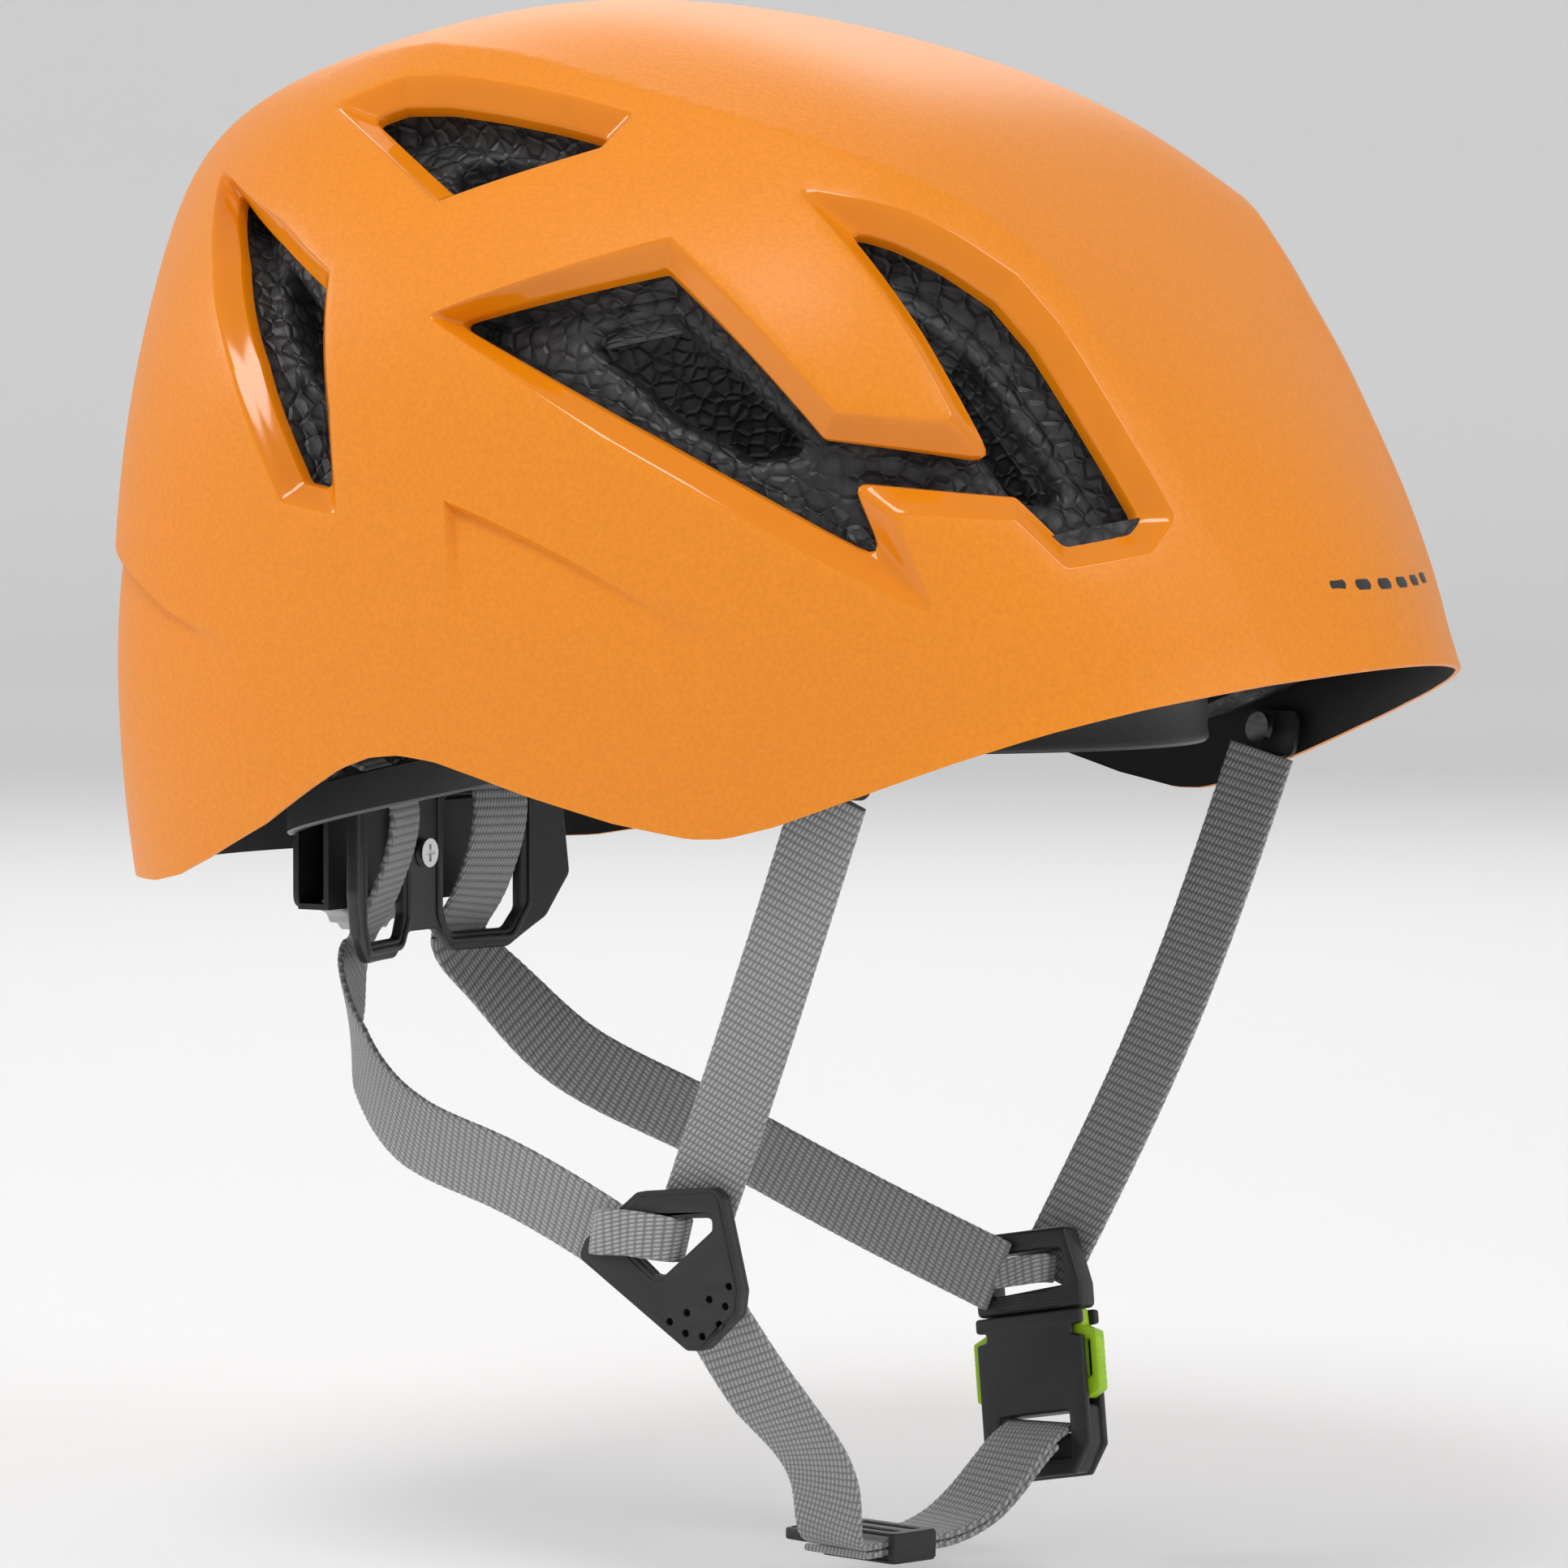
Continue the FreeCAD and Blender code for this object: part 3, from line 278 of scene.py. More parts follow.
def turn_ends(corners, i, radius):
    """Where the rounded turn at corner i leaves one side and joins the next."""
    corner = corners[i]
    back, ahead = corners[i - 1] - corner, corners[(i + 1) % len(corners)] - corner
    long_back, long_ahead = np.linalg.norm(back), np.linalg.norm(ahead)
    cosine = np.clip(back @ ahead / (long_back * long_ahead), -1, 1)
    half = max(math.acos(cosine) / 2, SHARPEST_HALF)
    size = radius[i] if isinstance(radius, (list, tuple)) else radius
    wanted = size / math.tan(half) if half < STRAIGHT_HALF else STRAIGHT_RUN
    run = min(wanted, SIDE_SHARE * long_back, SIDE_SHARE * long_ahead)
    return corner + back / long_back * run, corner + ahead / long_ahead * run


def soften(corners, radius, arc=5, step=None):
    """Closed outline through the corners with rounded turns, and points along its sides."""
    corners = [np.array(c, float) for c in corners]
    line = []
    for i, corner in enumerate(corners):
        first, last = turn_ends(corners, i, radius)
        for k in range(arc + 1):
            t = k / arc
            line.append((1 - t) ** 2 * first + 2 * t * (1 - t) * corner + t * t * last)
        if step:
            end = turn_ends(corners, (i + 1) % len(corners), radius)[0]
            for k in range(1, step[i]):
                line.append(last + (end - last) * k / step[i])
    return line


def offset(corners, width):
    """Outline moved outwards by width, with mitred corners. The corners run anticlockwise."""
    corners = [np.array(c, float) for c in corners]
    moved = []
    for i, corner in enumerate(corners):
        back, ahead = corner - corners[i - 1], corners[(i + 1) % len(corners)] - corner
        n1 = np.array([back[1], -back[0]]) / np.linalg.norm(back)
        n2 = np.array([ahead[1], -ahead[0]]) / np.linalg.norm(ahead)
        share = (n1 + n2) / max(1 + n1 @ n2, 0.24)
        moved.append(corner + share * width)
    return moved


def anticlockwise(corners):
    area = sum(corners[i - 1][0] * corners[i][1] - corners[i][0] * corners[i - 1][1] for i in range(len(corners)))
    return list(corners) if area > 0 else list(reversed(corners))


def plate(name, outlines, half, edge, place, material, step=None, rounds=2, smooth=35):
    """Flat moulding from outlines, with rounded edges, laid in the helmet by place(x, y, z)."""
    curve = bpy.data.curves.new(name, "CURVE")
    curve.dimensions = "2D"
    curve.fill_mode = "BOTH"
    curve.extrude = half - edge
    curve.bevel_depth = edge
    curve.bevel_resolution = rounds
    curve.offset = -edge
    for outline in outlines:
        spline = curve.splines.new("POLY")
        spline.points.add(len(outline) - 1)
        for point, corner in zip(spline.points, outline):
            point.co = (corner[0], corner[1], 0, 1)
        spline.use_cyclic_u = True
    source = bpy.data.objects.new(name, curve)
    mesh = bpy.data.meshes.new_from_object(source)
    bpy.data.objects.remove(source)
    work = bmesh.new()
    work.from_mesh(mesh)
    bmesh.ops.remove_doubles(work, verts=work.verts, dist=1e-4)
    if step:
        xs = [v.co.x for v in work.verts]
        for i in range(int(min(xs) // step), int(max(xs) // step) + 1):
            bmesh.ops.bisect_plane(work, geom=work.verts[:] + work.edges[:] + work.faces[:],
                                   plane_co=(i * step, 0, 0), plane_no=(1, 0, 0))
    for vert in work.verts:
        vert.co = Vector([c * MM for c in place(*vert.co)])
    bmesh.ops.recalc_face_normals(work, faces=work.faces)
    mesh.clear_geometry()
    work.to_mesh(mesh)
    work.free()
    mesh.materials.clear()
    mesh.materials.append(material)
    return finish_mesh(name, mesh, smooth)


def turned(name, profile, material, place, steps=48, hollow=False):
    """Turned part: profile is (radius, height) pairs, laid in the helmet by place(x, y, z)."""
    profile = list(profile) + [profile[0]] if hollow else profile
    points, faces = [], []
    for radius, height in profile:
        for k in range(steps):
            turn = 2 * math.pi * k / steps
            points.append(place(radius * math.cos(turn), radius * math.sin(turn), height))
    rows = len(profile)
    for i in range(rows - 1):
        for k in range(steps):
            a, b = i * steps + k, i * steps + (k + 1) % steps
            faces.append((a, b, b + steps, a + steps))
    if not hollow:
        faces.append(tuple(reversed(range(steps))))
        faces.append(tuple(range((rows - 1) * steps, rows * steps)))
    return tidy(make_object(name, points, faces, material))


def spline_through(stations, step):
    """Even points along a smooth curve through the stations, with each station's place."""
    stations = np.array([tuple(s) for s in stations], float)
    gaps = np.linalg.norm(np.diff(stations, axis=0), axis=1)
    marks = np.concatenate([[0], np.cumsum(gaps)])
    count = len(stations)
    system, right = np.zeros((count, count)), np.zeros((count, 3))
    system[0, 0] = system[-1, -1] = 1
    for i in range(1, count - 1):
        system[i, i - 1], system[i, i], system[i, i + 1] = gaps[i - 1], 2 * (gaps[i - 1] + gaps[i]), gaps[i]
        right[i] = 6 * ((stations[i + 1] - stations[i]) / gaps[i] - (stations[i] - stations[i - 1]) / gaps[i - 1])
    bend = np.linalg.solve(system, right)
    total = marks[-1]
    spots = np.linspace(0, total, max(int(total / step), 2) + 1)
    low = np.clip(np.searchsorted(marks, spots, side="right") - 1, 0, count - 2)
    h = gaps[low][:, None]
    a = ((marks[low + 1] - spots) / gaps[low])[:, None]
    b = 1 - a
    path = (a * stations[low] + b * stations[low + 1]
            + ((a ** 3 - a) * bend[low] + (b ** 3 - b) * bend[low + 1]) * h ** 2 / 6)
    return path, low, b[:, 0]


def frames_along(path, widths):
    run = np.gradient(path, axis=0)
    run /= np.linalg.norm(run, axis=1)[:, None]
    across = widths - run * (widths * run).sum(1)[:, None]
    across /= np.linalg.norm(across, axis=1)[:, None]
    return run, across, np.cross(run, across)


def spread(ways, low, share):
    ways = np.array([tuple(w) for w in ways], float)
    ways /= np.linalg.norm(ways, axis=1)[:, None]
    return ways[low] * (1 - share)[:, None] + ways[low + 1] * share[:, None]


def sweep(name, path, widths, section, material, swell=None, smooth=50, begun=0):
    """Solid swept along a path. section is (across, out) pairs; swell changes it by length."""
    run, across, out = frames_along(path, widths)
    length = begun + np.concatenate([[0], np.cumsum(np.linalg.norm(np.diff(path, axis=0), axis=1))])
    around, points, faces, spots = len(section), [], [], []
    for i in range(len(path)):
        shaped = swell(length[i], section) if swell else section
        for a, b in shaped:
            points.append(path[i] + across[i] * a + out[i] * b)
    for i in range(len(path) - 1):
        for k in range(around):
            a, b = i * around + k, i * around + (k + 1) % around
            faces.append((a, b, b + around, a + around))
    faces.append(tuple(reversed(range(around))))
    faces.append(tuple(range((len(path) - 1) * around, len(path) * around)))
    thing = make_object(name, points, faces, material, smooth=smooth)
    uv = thing.data.uv_layers.new(name="UVMap")
    for loop in thing.data.loops:
        row, column = divmod(loop.vertex_index, around)
        uv.data[loop.index].uv = (section[column][0], length[row])
    return tidy_normals(thing)


def tidy_normals(thing):
    work = bmesh.new()
    work.from_mesh(thing.data)
    bmesh.ops.recalc_face_normals(work, faces=work.faces)
    work.to_mesh(thing.data)
    work.free()
    return thing


def flat_section(width, thick, columns=8):
    """Section of a flat strip with rounded edges."""
    half, rim = width / 2, thick / 2
    top = [(half - rim) * (2 * k / columns - 1) for k in range(columns + 1)]
    side = [(0.6, 0.8), (0.95, 0.35)]
    right = [(half - rim + rim * a, rim * b) for a, b in side]
    section = [(x, rim) for x in top] + right
    section += [(a, -b) for a, b in reversed(right)] + [(x, -rim) for x in reversed(top)]
    section += [(-a, -b) for a, b in right] + [(-a, b) for a, b in reversed(right)]
    return section


WEB_WIDTH = 15
WEB_THICK = 1.3


def ribs(length, section):
    """Cross ribs of the webbing, and the small scallops along its edges."""
    lift = 0.16 * abs(math.sin(length * RIB_TURN)) - 0.06
    return [(a + math.copysign(lift * 0.9, a) if abs(a) > WEB_WIDTH / 2 - 0.9 else a,
             b + math.copysign(lift, b)) for a, b in section]


def webbing(name, path, widths, lean=0, begun=0):
    section = [(a, b + lean) for a, b in flat_section(WEB_WIDTH, WEB_THICK)]

    def shaped(length, plain):
        return [(a, b + lean) for a, b in ribs(length, [(a, b - lean) for a, b in plain])]

    return sweep(name, path, widths, section, WEBBING, shaped, smooth=60, begun=begun)


# ------------------------------------------------------------------ repeats by nodes

def instance_tree():
    """Puts a stamp on each point of a mesh, turned to the point's two directions."""
    tree = bpy.data.node_groups.new("stamp_on_points", "GeometryNodeTree")
    face = tree.interface
    face.new_socket("Geometry", in_out="INPUT", socket_type="NodeSocketGeometry")
    face.new_socket("Stamp", in_out="INPUT", socket_type="NodeSocketObject")
    face.new_socket("Stamp Size", in_out="INPUT", socket_type="NodeSocketFloat")
    face.new_socket("Finish", in_out="INPUT", socket_type="NodeSocketMaterial")
    face.new_socket("Geometry", in_out="OUTPUT", socket_type="NodeSocketGeometry")
    nodes, links = tree.nodes, tree.links
    start, end = nodes.new("NodeGroupInput"), nodes.new("NodeGroupOutput")
    info = nodes.new("GeometryNodeObjectInfo")
    links.new(start.outputs["Stamp"], info.inputs["Object"])
    ways = []
    for word in ("facing", "along"):
        read = nodes.new("GeometryNodeInputNamedAttribute")
        read.data_type = "FLOAT_VECTOR"
        read.inputs["Name"].default_value = word
        ways.append(read.outputs["Attribute"])
    turn = nodes.new("FunctionNodeAxesToRotation")
    turn.primary_axis, turn.secondary_axis = "Z", "X"
    links.new(ways[0], turn.inputs["Primary Axis"])
    links.new(ways[1], turn.inputs["Secondary Axis"])
    put = nodes.new("GeometryNodeInstanceOnPoints")
    links.new(start.outputs["Geometry"], put.inputs["Points"])
    links.new(info.outputs["Geometry"], put.inputs["Instance"])
    links.new(turn.outputs["Rotation"], put.inputs["Rotation"])
    links.new(start.outputs["Stamp Size"], put.inputs["Scale"])
    solid = nodes.new("GeometryNodeRealizeInstances")
    paint = nodes.new("GeometryNodeSetMaterial")
    links.new(put.outputs["Instances"], solid.inputs["Geometry"])
    links.new(solid.outputs["Geometry"], paint.inputs["Geometry"])
    links.new(start.outputs["Finish"], paint.inputs["Material"])
    links.new(paint.outputs["Geometry"], end.inputs["Geometry"])
    return tree


STAMPS = instance_tree()


def stamp(name, stamp_object, spots, material, scale=1.0):
    """Repeats a small shape. spots are (place, facing, along), in millimetres and directions."""
    mesh = bpy.data.meshes.new(name)
    mesh.from_pydata([tuple(c * MM for c in place) for place, _, _ in spots], [], [])
    for number, word in ((1, "facing"), (2, "along")):
        layer = mesh.attributes.new(word, "FLOAT_VECTOR", "POINT")
        layer.data.foreach_set("vector", [float(c) for spot in spots for c in spot[number]])
    thing = bpy.data.objects.new(name, mesh)
    bpy.context.scene.collection.objects.link(thing)
    modifier = thing.modifiers.new("repeat", "NODES")
    modifier.node_group = STAMPS
    names = {item.name: item.identifier for item in STAMPS.interface.items_tree if item.in_out == "INPUT"}
    modifier[names["Stamp"]] = stamp_object
    modifier[names["Stamp Size"]] = scale
    modifier[names["Finish"]] = material
    bpy.context.view_layer.update()
    baked = bpy.data.meshes.new_from_object(thing.evaluated_get(bpy.context.evaluated_depsgraph_get()))
    bpy.data.objects.remove(thing)
    if not baked.materials:
        baked.materials.append(material)
    bpy.data.objects.remove(stamp_object)
    return finish_mesh(name, baked)


def small_bar(length, width, height):
    """A low rounded bar, lying along X with its back at height zero."""
    half, side = length / 2, width / 2
    ends = [(-half, 0), (-half + side * 0.6, 1), (half - side * 0.6, 1), (half, 0)]
    rings = [(-side, 0), (-side * 0.6, height * 0.8), (0, height), (side * 0.6, height * 0.8), (side, 0)]
    points = [(x, y * (0.35 + 0.65 * full), z * full) for x, full in ends for y, z in rings]
    faces = []
    for i in range(3):
        for k in range(4):
            a = i * 5 + k
            faces.append((a, a + 5, a + 6, a + 1))
        faces.append((i * 5, i * 5 + 4, i * 5 + 9, i * 5 + 5))
    faces += [(0, 1, 2, 3, 4), (19, 18, 17, 16, 15)]
    return tidy(make_object("bar_stamp", points, faces, BLACK), gap=0.001)


# ------------------------------------------------------------------ the shell's form
# The same rule as the part's: a power sum of an ellipsoid and flat facets about a centre.

CENTRE = np.array([-4.6, 0, 47.4])
REACH = {"front": 166, "rear": 156.3, "side": 109.1, "up": 98, "down": 203}
PLAN_POWER, RISE_POWER, EDGE_POWER = 2.15, 2.12, 13
FACETS = ((136.8, 21.1, 120.2), (143.3, 73, 98.5), (73.7, 51, 98.9), (0, 43.2, 99),
          (25.9, 22.4, 124.3), (0, 75, 85.7), (158, -0.9, 125.4))


def ways(azimuth, elevation):
    a, e = np.radians(np.asarray(azimuth, float)), np.radians(np.asarray(elevation, float))
    return np.stack([np.cos(e) * np.cos(a), np.cos(e) * np.sin(a), np.sin(e)], -1)


FACET_NORMALS = np.array([ways(side * azimuth, elevation) / distance for azimuth, elevation, distance in FACETS
                          for side in ((1,) if azimuth == 0 else (1, -1))])


def form(v):
    """One on the outer surface, and growing evenly along every ray from the centre."""
    x = np.where(v[:, 0] > 0, v[:, 0] / REACH["front"], v[:, 0] / REACH["rear"])
    z = np.where(v[:, 2] > 0, v[:, 2] / REACH["up"], v[:, 2] / REACH["down"])
    plan = np.abs(x) ** PLAN_POWER + np.abs(v[:, 1] / REACH["side"]) ** PLAN_POWER
    total = (plan ** (RISE_POWER / PLAN_POWER) + np.abs(z) ** RISE_POWER) ** (EDGE_POWER / RISE_POWER)
    total = total + (np.maximum(v @ FACET_NORMALS.T, 0) ** EDGE_POWER).sum(1)
    return total ** (1 / EDGE_POWER)


def on_form(directions):
    """Outer points and outward normals along directions from the centre."""
    v = directions / form(directions)[:, None]
    slope = np.stack([(form(v + step) - form(v - step)) for step in np.eye(3) * 0.05], -1)
    return CENTRE + v, slope / np.linalg.norm(slope, axis=1)[:, None]


def line_on_form(corners, step=1.5):
    """Dense points of a line given by (azimuth, elevation) corners, on the left half."""
    path, low, share = spline_through([on_form(ways([a], [e]))[0][0] for a, e in corners], step)
    return on_form(path - CENTRE)[0]


def near_line(points, normals, line):
    """Distance to a line, the side it is on, and the share of the line's length."""
    best, side, place = np.full(len(points), 1e9), np.zeros(len(points)), np.zeros(len(points))
    for i in range(len(line) - 1):
        a, run = line[i], line[i + 1] - line[i]
        t = np.clip(((points - a) @ run) / (run @ run), 0, 1)
        gap = points - a - t[:, None] * run
        far = np.linalg.norm(gap, axis=1)
        better = far < best
        best = np.where(better, far, best)
        side = np.where(better, np.sign((np.cross(run, gap) * normals).sum(1)), side)
        place = np.where(better, (i + t) / (len(line) - 1), place)
    return best, side, place


TOP_CREASE = line_on_form(((137, 40), (131.9, 43.2), (121, 46.5), (110, 47.6), (95, 47.3), (82, 44.7), (68.7, 40.2),
                           (58.7, 35.7), (48.6, 29.8), (41.5, 25.4), (36, 22.5), (31.4, 19.9), (28.4, 17.4),
                           (25.4, 13.6), (23.6, 8), (21, 3.4), (19.6, -3.6), (17.9, -8.6), (16.6, -12.1),
                           (14.4, -17.1)), 3)
BRIM_LINE = line_on_form(((60, -30), (51, -27.2), (32.5, -19.7), (19.9, -16.4), (12.8, -14.9), (0, -14)), 3)
REAR_STEP = line_on_form(((180, -9), (160, -9.3), (145, -10.3), (137, -11.8), (130.8, -13.7), (124.7, -16.5),
                          (119.2, -18.6), (115, -20.5)), 3)
DOWN_LEG = line_on_form(((88, -6.5), (87.8, -12), (87.4, -17.5)), 2)
SLANT_LEG = line_on_form(((88, -6.5), (81, -9), (74, -11.8), (65.8, -15.4), (58, -18)), 3)


def relief(points, normals):
    """How far creases, steps and the brim's flare stand out of the plain form, in millimetres."""
    far, side, place = near_line(points, normals, TOP_CREASE)
    fade = np.clip(place * 9, 0, 1) * np.interp(place, [0, 0.55, 0.8, 1], [1, 1, 0.55, 0.25])
    rise = 2.4 * fade * np.exp(-far / 13)
    far, side, place = near_line(points, normals, BRIM_LINE)
    flare = np.where(side * BRIM_SIDE > 0, far, 0)
    rise += np.clip(flare, 0, 14) * 0.16 * np.clip(place * 3, 0, 1)
    far, side, place = near_line(points, normals, REAR_STEP)
    below = np.where(side * STEP_SIDE > 0, 1.0, 0.0) * np.clip(far / 1.2, 0, 1)
    rise -= 2.0 * below * np.exp(-far / 20) * np.clip((1 - place) * 5, 0, 1)
    down, down_side, down_place = near_line(points, normals, DOWN_LEG)
    slant, slant_side, slant_place = near_line(points, normals, SLANT_LEG)
    inside = (down_side * DOWN_SIDE > 0) & (slant_side * SLANT_SIDE > 0)
    edge = np.clip(down / 1.2, 0, 1) * np.clip(slant / 1.2, 0, 1)
    deep = np.maximum((1 - down_place) ** 0.8 * np.exp(-down / 5), (1 - slant_place) ** 0.8 * np.exp(-slant / 8))
    rise -= 2.3 * inside * edge * deep
    return rise


def beside(line, width):
    """A line moved sideways along the form."""
    run = np.gradient(line, axis=0)
    across = np.cross(on_form(line - CENTRE)[1], run)
    return line + across / np.linalg.norm(across, axis=1)[:, None] * width


def side_of(line, azimuth, elevation):
    point, normal = on_form(ways([azimuth], [elevation]))
    return near_line(point, normal, line)[1][0]


BRIM_SIDE = side_of(BRIM_LINE, 20, -25)
STEP_SIDE = side_of(REAR_STEP, 140, -20)
DOWN_SIDE = side_of(DOWN_LEG, 84, -12)
SLANT_SIDE = side_of(SLANT_LEG, 78, -20)


def skin(directions, depth, raised=True):
    points, normals = on_form(directions)
    rise = relief(points, normals) if raised else 0
    if np.ndim(rise - depth):
        return points + normals * (rise - np.asarray(depth, float))[..., None]
    return points - normals * depth


def flat_map(theta, phi):
    return theta * np.cos(phi), theta * np.sin(phi)


def from_flat(x, y):
    theta, phi = np.hypot(x, y), np.arctan2(y, x)
    return np.stack([np.sin(theta) * np.cos(phi), np.sin(theta) * np.sin(phi), np.cos(theta)], -1)


def to_flat(directions):
    unit = directions / np.linalg.norm(directions, axis=-1)[..., None]
    theta = np.arccos(np.clip(unit[..., 2], -1, 1))
    phi = np.arctan2(unit[..., 1], unit[..., 0])
    return np.stack([theta * np.cos(phi), theta * np.sin(phi)], -1)


RIM = ((-160, -43), (-131, -42.8), (-110, -42.6), (-88, -42), (-79, -40.4), (-68, -36.5), (-50, -28.8), (-38, -22),
       (-29, -17.2), (-21, -14.6), (-14, -14), (-6, -15), (3, -17.6), (14, -21), (32, -25.8), (47, -28.4), (54, -28.2),
       (64, -25.6), (80, -19.6), (97, -13), (112, -7.6), (125, -3.4), (138, 0.3), (150, 3.2))


def rim_height(x, lift=0):
    xs, zs = np.array(RIM).T
    return np.interp(x, xs, zs) + lift


def rim_line(lift, depth, count=150):
    """Flat-map points where the form meets the rim's height, from the front to the back."""
    phi = np.linspace(0, math.pi, count)
    low, high = np.full(count, 1.2), np.full(count, 2.5)
    for _ in range(30):
        middle = (low + high) / 2
        directions = from_flat(*flat_map(middle, phi))
        points = on_form(directions)[0] if depth == 0 else skin(directions, depth, False)
        above = points[:, 2] > rim_height(points[:, 0], lift)
        low, high = np.where(above, middle, low), np.where(above, high, middle)
    return np.stack(flat_map(low, phi), -1)


def inside(points, polygon):
    x, y = points[:, 0], points[:, 1]
    found = np.zeros(len(points), bool)
    for i in range(len(polygon)):
        a, b = polygon[i - 1], polygon[i]
        crosses = ((a[1] > y) != (b[1] > y))
        with np.errstate(divide="ignore", invalid="ignore"):
            found ^= crosses & (x < (b[0] - a[0]) * (y - a[1]) / (b[1] - a[1]) + a[0])
    return found


def clear_of(points, loop, gap):
    keep = np.ones(len(points), bool)
    for corner in loop:
        keep &= np.hypot(points[:, 0] - corner[0], points[:, 1] - corner[1]) > gap
    return keep


def fill_half(outer, holes, lines, spacing, top=True):
    """Triangles on the flat map inside outer and outside the holes. lines stay edges."""
    gap = spacing / 108
    rings = []
    limit = max(np.hypot(*np.array(outer).T))
    theta = gap if top else 0.3
    row = 0
    while theta < limit:
        count = max(int(math.pi * math.sin(theta) * 108 / spacing), 3)
        shift = 0.5 if row % 2 else 0.0
        phi = (np.arange(count) + shift + 0.25) / (count + 0.5) * math.pi
        rings.append(np.stack(flat_map(theta, phi), -1))
        theta += gap
        row += 1
    loose = np.concatenate(rings)
    loose = loose[inside(loose, outer) & clear_of(loose, outer, gap * 0.55)]
    for hole in holes:
        loose = loose[~inside(loose, hole) & clear_of(loose, hole, gap * 0.6)]
    for line in lines:
        loose = loose[clear_of(loose, line, gap * 0.5)]
    points, edges = list(map(tuple, loose)), []
    for loop in [outer] + holes:
        start = len(points)
        points += list(map(tuple, loop))
        edges += [(start + i, start + (i + 1) % len(loop)) for i in range(len(loop))]
    for line in lines:
        start = len(points)
        points += list(map(tuple, line))
        edges += [(start + i, start + i + 1) for i in range(len(line) - 1)]
    result = geometry.delaunay_2d_cdt([Vector(p) for p in points], edges, [], 0, 1e-7)
    spots, faces = np.array([tuple(v) for v in result[0]]), np.array(result[2])
    middles = spots[faces].mean(1)
    keep = inside(middles, outer)
    for hole in holes:
        keep &= ~inside(middles, hole)
    return spots, faces[keep]


def half_outline(rim, spacing):
    """The rim closed along the centre plane."""
    gap = spacing / 108
    front, back = rim[0][0], rim[-1][0]
    seam = np.linspace(back, front, int((front - back) / gap))[1:-1]
    return np.concatenate([rim, np.stack([seam, seam * 0], -1)])


# ------------------------------------------------------------------ vents
# Corners are (azimuth, elevation) on the left half; the right half is its mirror.

VENTS = {
    "top": (((115.4, 37.2), (111.8, 39.6), (104, 40.6), (93.5, 40.1), (83, 38.4), (75.4, 36.2), (76.6, 34.4),
             (94, 27.6)), 5.0),
    "rear_side": (((134.6, 26.1), (115.6, 19.7), (106.7, 15.2), (104, 2.1), (103.3, -5.6), (106.9, -4.9), (114, 7.2),
                   (122.7, 17.7)), 4.4),
    "flash": (((88.6, 11.8), (65.3, 17.6), (50.5, -0.2), (35.8, -1.5), (40.6, 9.7), (46.4, 20.6),
               (41.7, 18.9), (37, 16.4), (32, 12.9), (29.3, 8.7), (23.4, -6), (24.6, -7), (30.5, -7.9), (34.2, -4.4),
               (48.2, -3.8), (45.6, -10.2), (50.9, -7.9), (68.7, 1.2)), 4.6),
    "back": (((150.5, 6.2), (163, 8.2), (171, 8.6), (172.6, 3.2), (163, 1.6), (153.4, -0.6)), 4.0),
}
THROUGH = {
    "top": ((101, 36.6), (95, 38.2), (86, 37.4), (81.5, 35.8), (92, 31), (98, 31.6)),
    "rear_side": ((122, 20), (110.8, 13.6), (107.4, 3), (115.6, 11)),
    "flash_rear": ((75.5, 11.6), (66, 14.6), (52.5, -1.4), (58.5, -2.2), (66, 2)),
    "flash_front": ((43.6, 15.2), (33.6, 10.2), (27, -3.6), (32.4, -3.8), (37, 4)),
    "back": ((153.5, 4.4), (168, 6.2), (169.6, 4.2), (155.5, 1)),
}
RADIUS = 112.0


class Opening:
    """An outline on the form, in a flat frame that touches the form at its middle."""

    def __init__(self, corners):
        directions = ways(*np.array(corners).T)
        self.out = directions.mean(0) / np.linalg.norm(directions.mean(0))
        self.right = np.cross((0, 0, 1), self.out)
        self.right /= np.linalg.norm(self.right)
        self.up = np.cross(self.out, self.right)
        scaled = directions / (directions @ self.out)[:, None] * RADIUS
        flat = np.stack([scaled @ self.right, scaled @ self.up], -1)
        self.corners = anticlockwise([tuple(p) for p in flat])
        self.counts = [max(int(np.linalg.norm(np.subtract(self.corners[(i + 1) % len(flat)], corner)) / 2.2), 1)
                       for i, corner in enumerate(self.corners)]

    def loop(self, grow, radius):
        """Rounded outline grown by some millimetres; every loop has the same count of points."""
        return np.array(soften(offset(self.corners, grow), max(radius, 0.3), 4, self.counts))

    def directions(self, flat):
        away = self.out + np.outer(flat[:, 0] / RADIUS, self.right) + np.outer(flat[:, 1] / RADIUS, self.up)
        return away / np.linalg.norm(away, axis=1)[:, None]

    def rows(self, profile, raised):
        """Rings of points from a profile of (grow, depth, rounding) entries."""
        rings = []
        for grow, depth, rounding in profile:
            rings.append(skin(self.directions(self.loop(grow, rounding)), np.full(1, depth), raised))
        return rings

    def flat_loop(self, grow, radius):
        return to_flat(self.directions(self.loop(grow, radius)))


def strip_faces(start, rings, closed=True):
    faces = []
    count = len(rings[0])
    for i in range(len(rings) - 1):
        for k in range(count if closed else count - 1):
            a, b = start + i * count + k, start + i * count + (k + 1) % count
            faces.append((a, b, b + count, a + count))
    return faces


def mirrored(points, faces, marks):
    """Adds the right half to a left half."""
    points = np.asarray(points)
    other = points * (1, -1, 1)
    flipped = [tuple(reversed([i + len(points) for i in face])) for face in faces]
    return np.concatenate([points, other]), list(faces) + flipped, list(marks) * 2


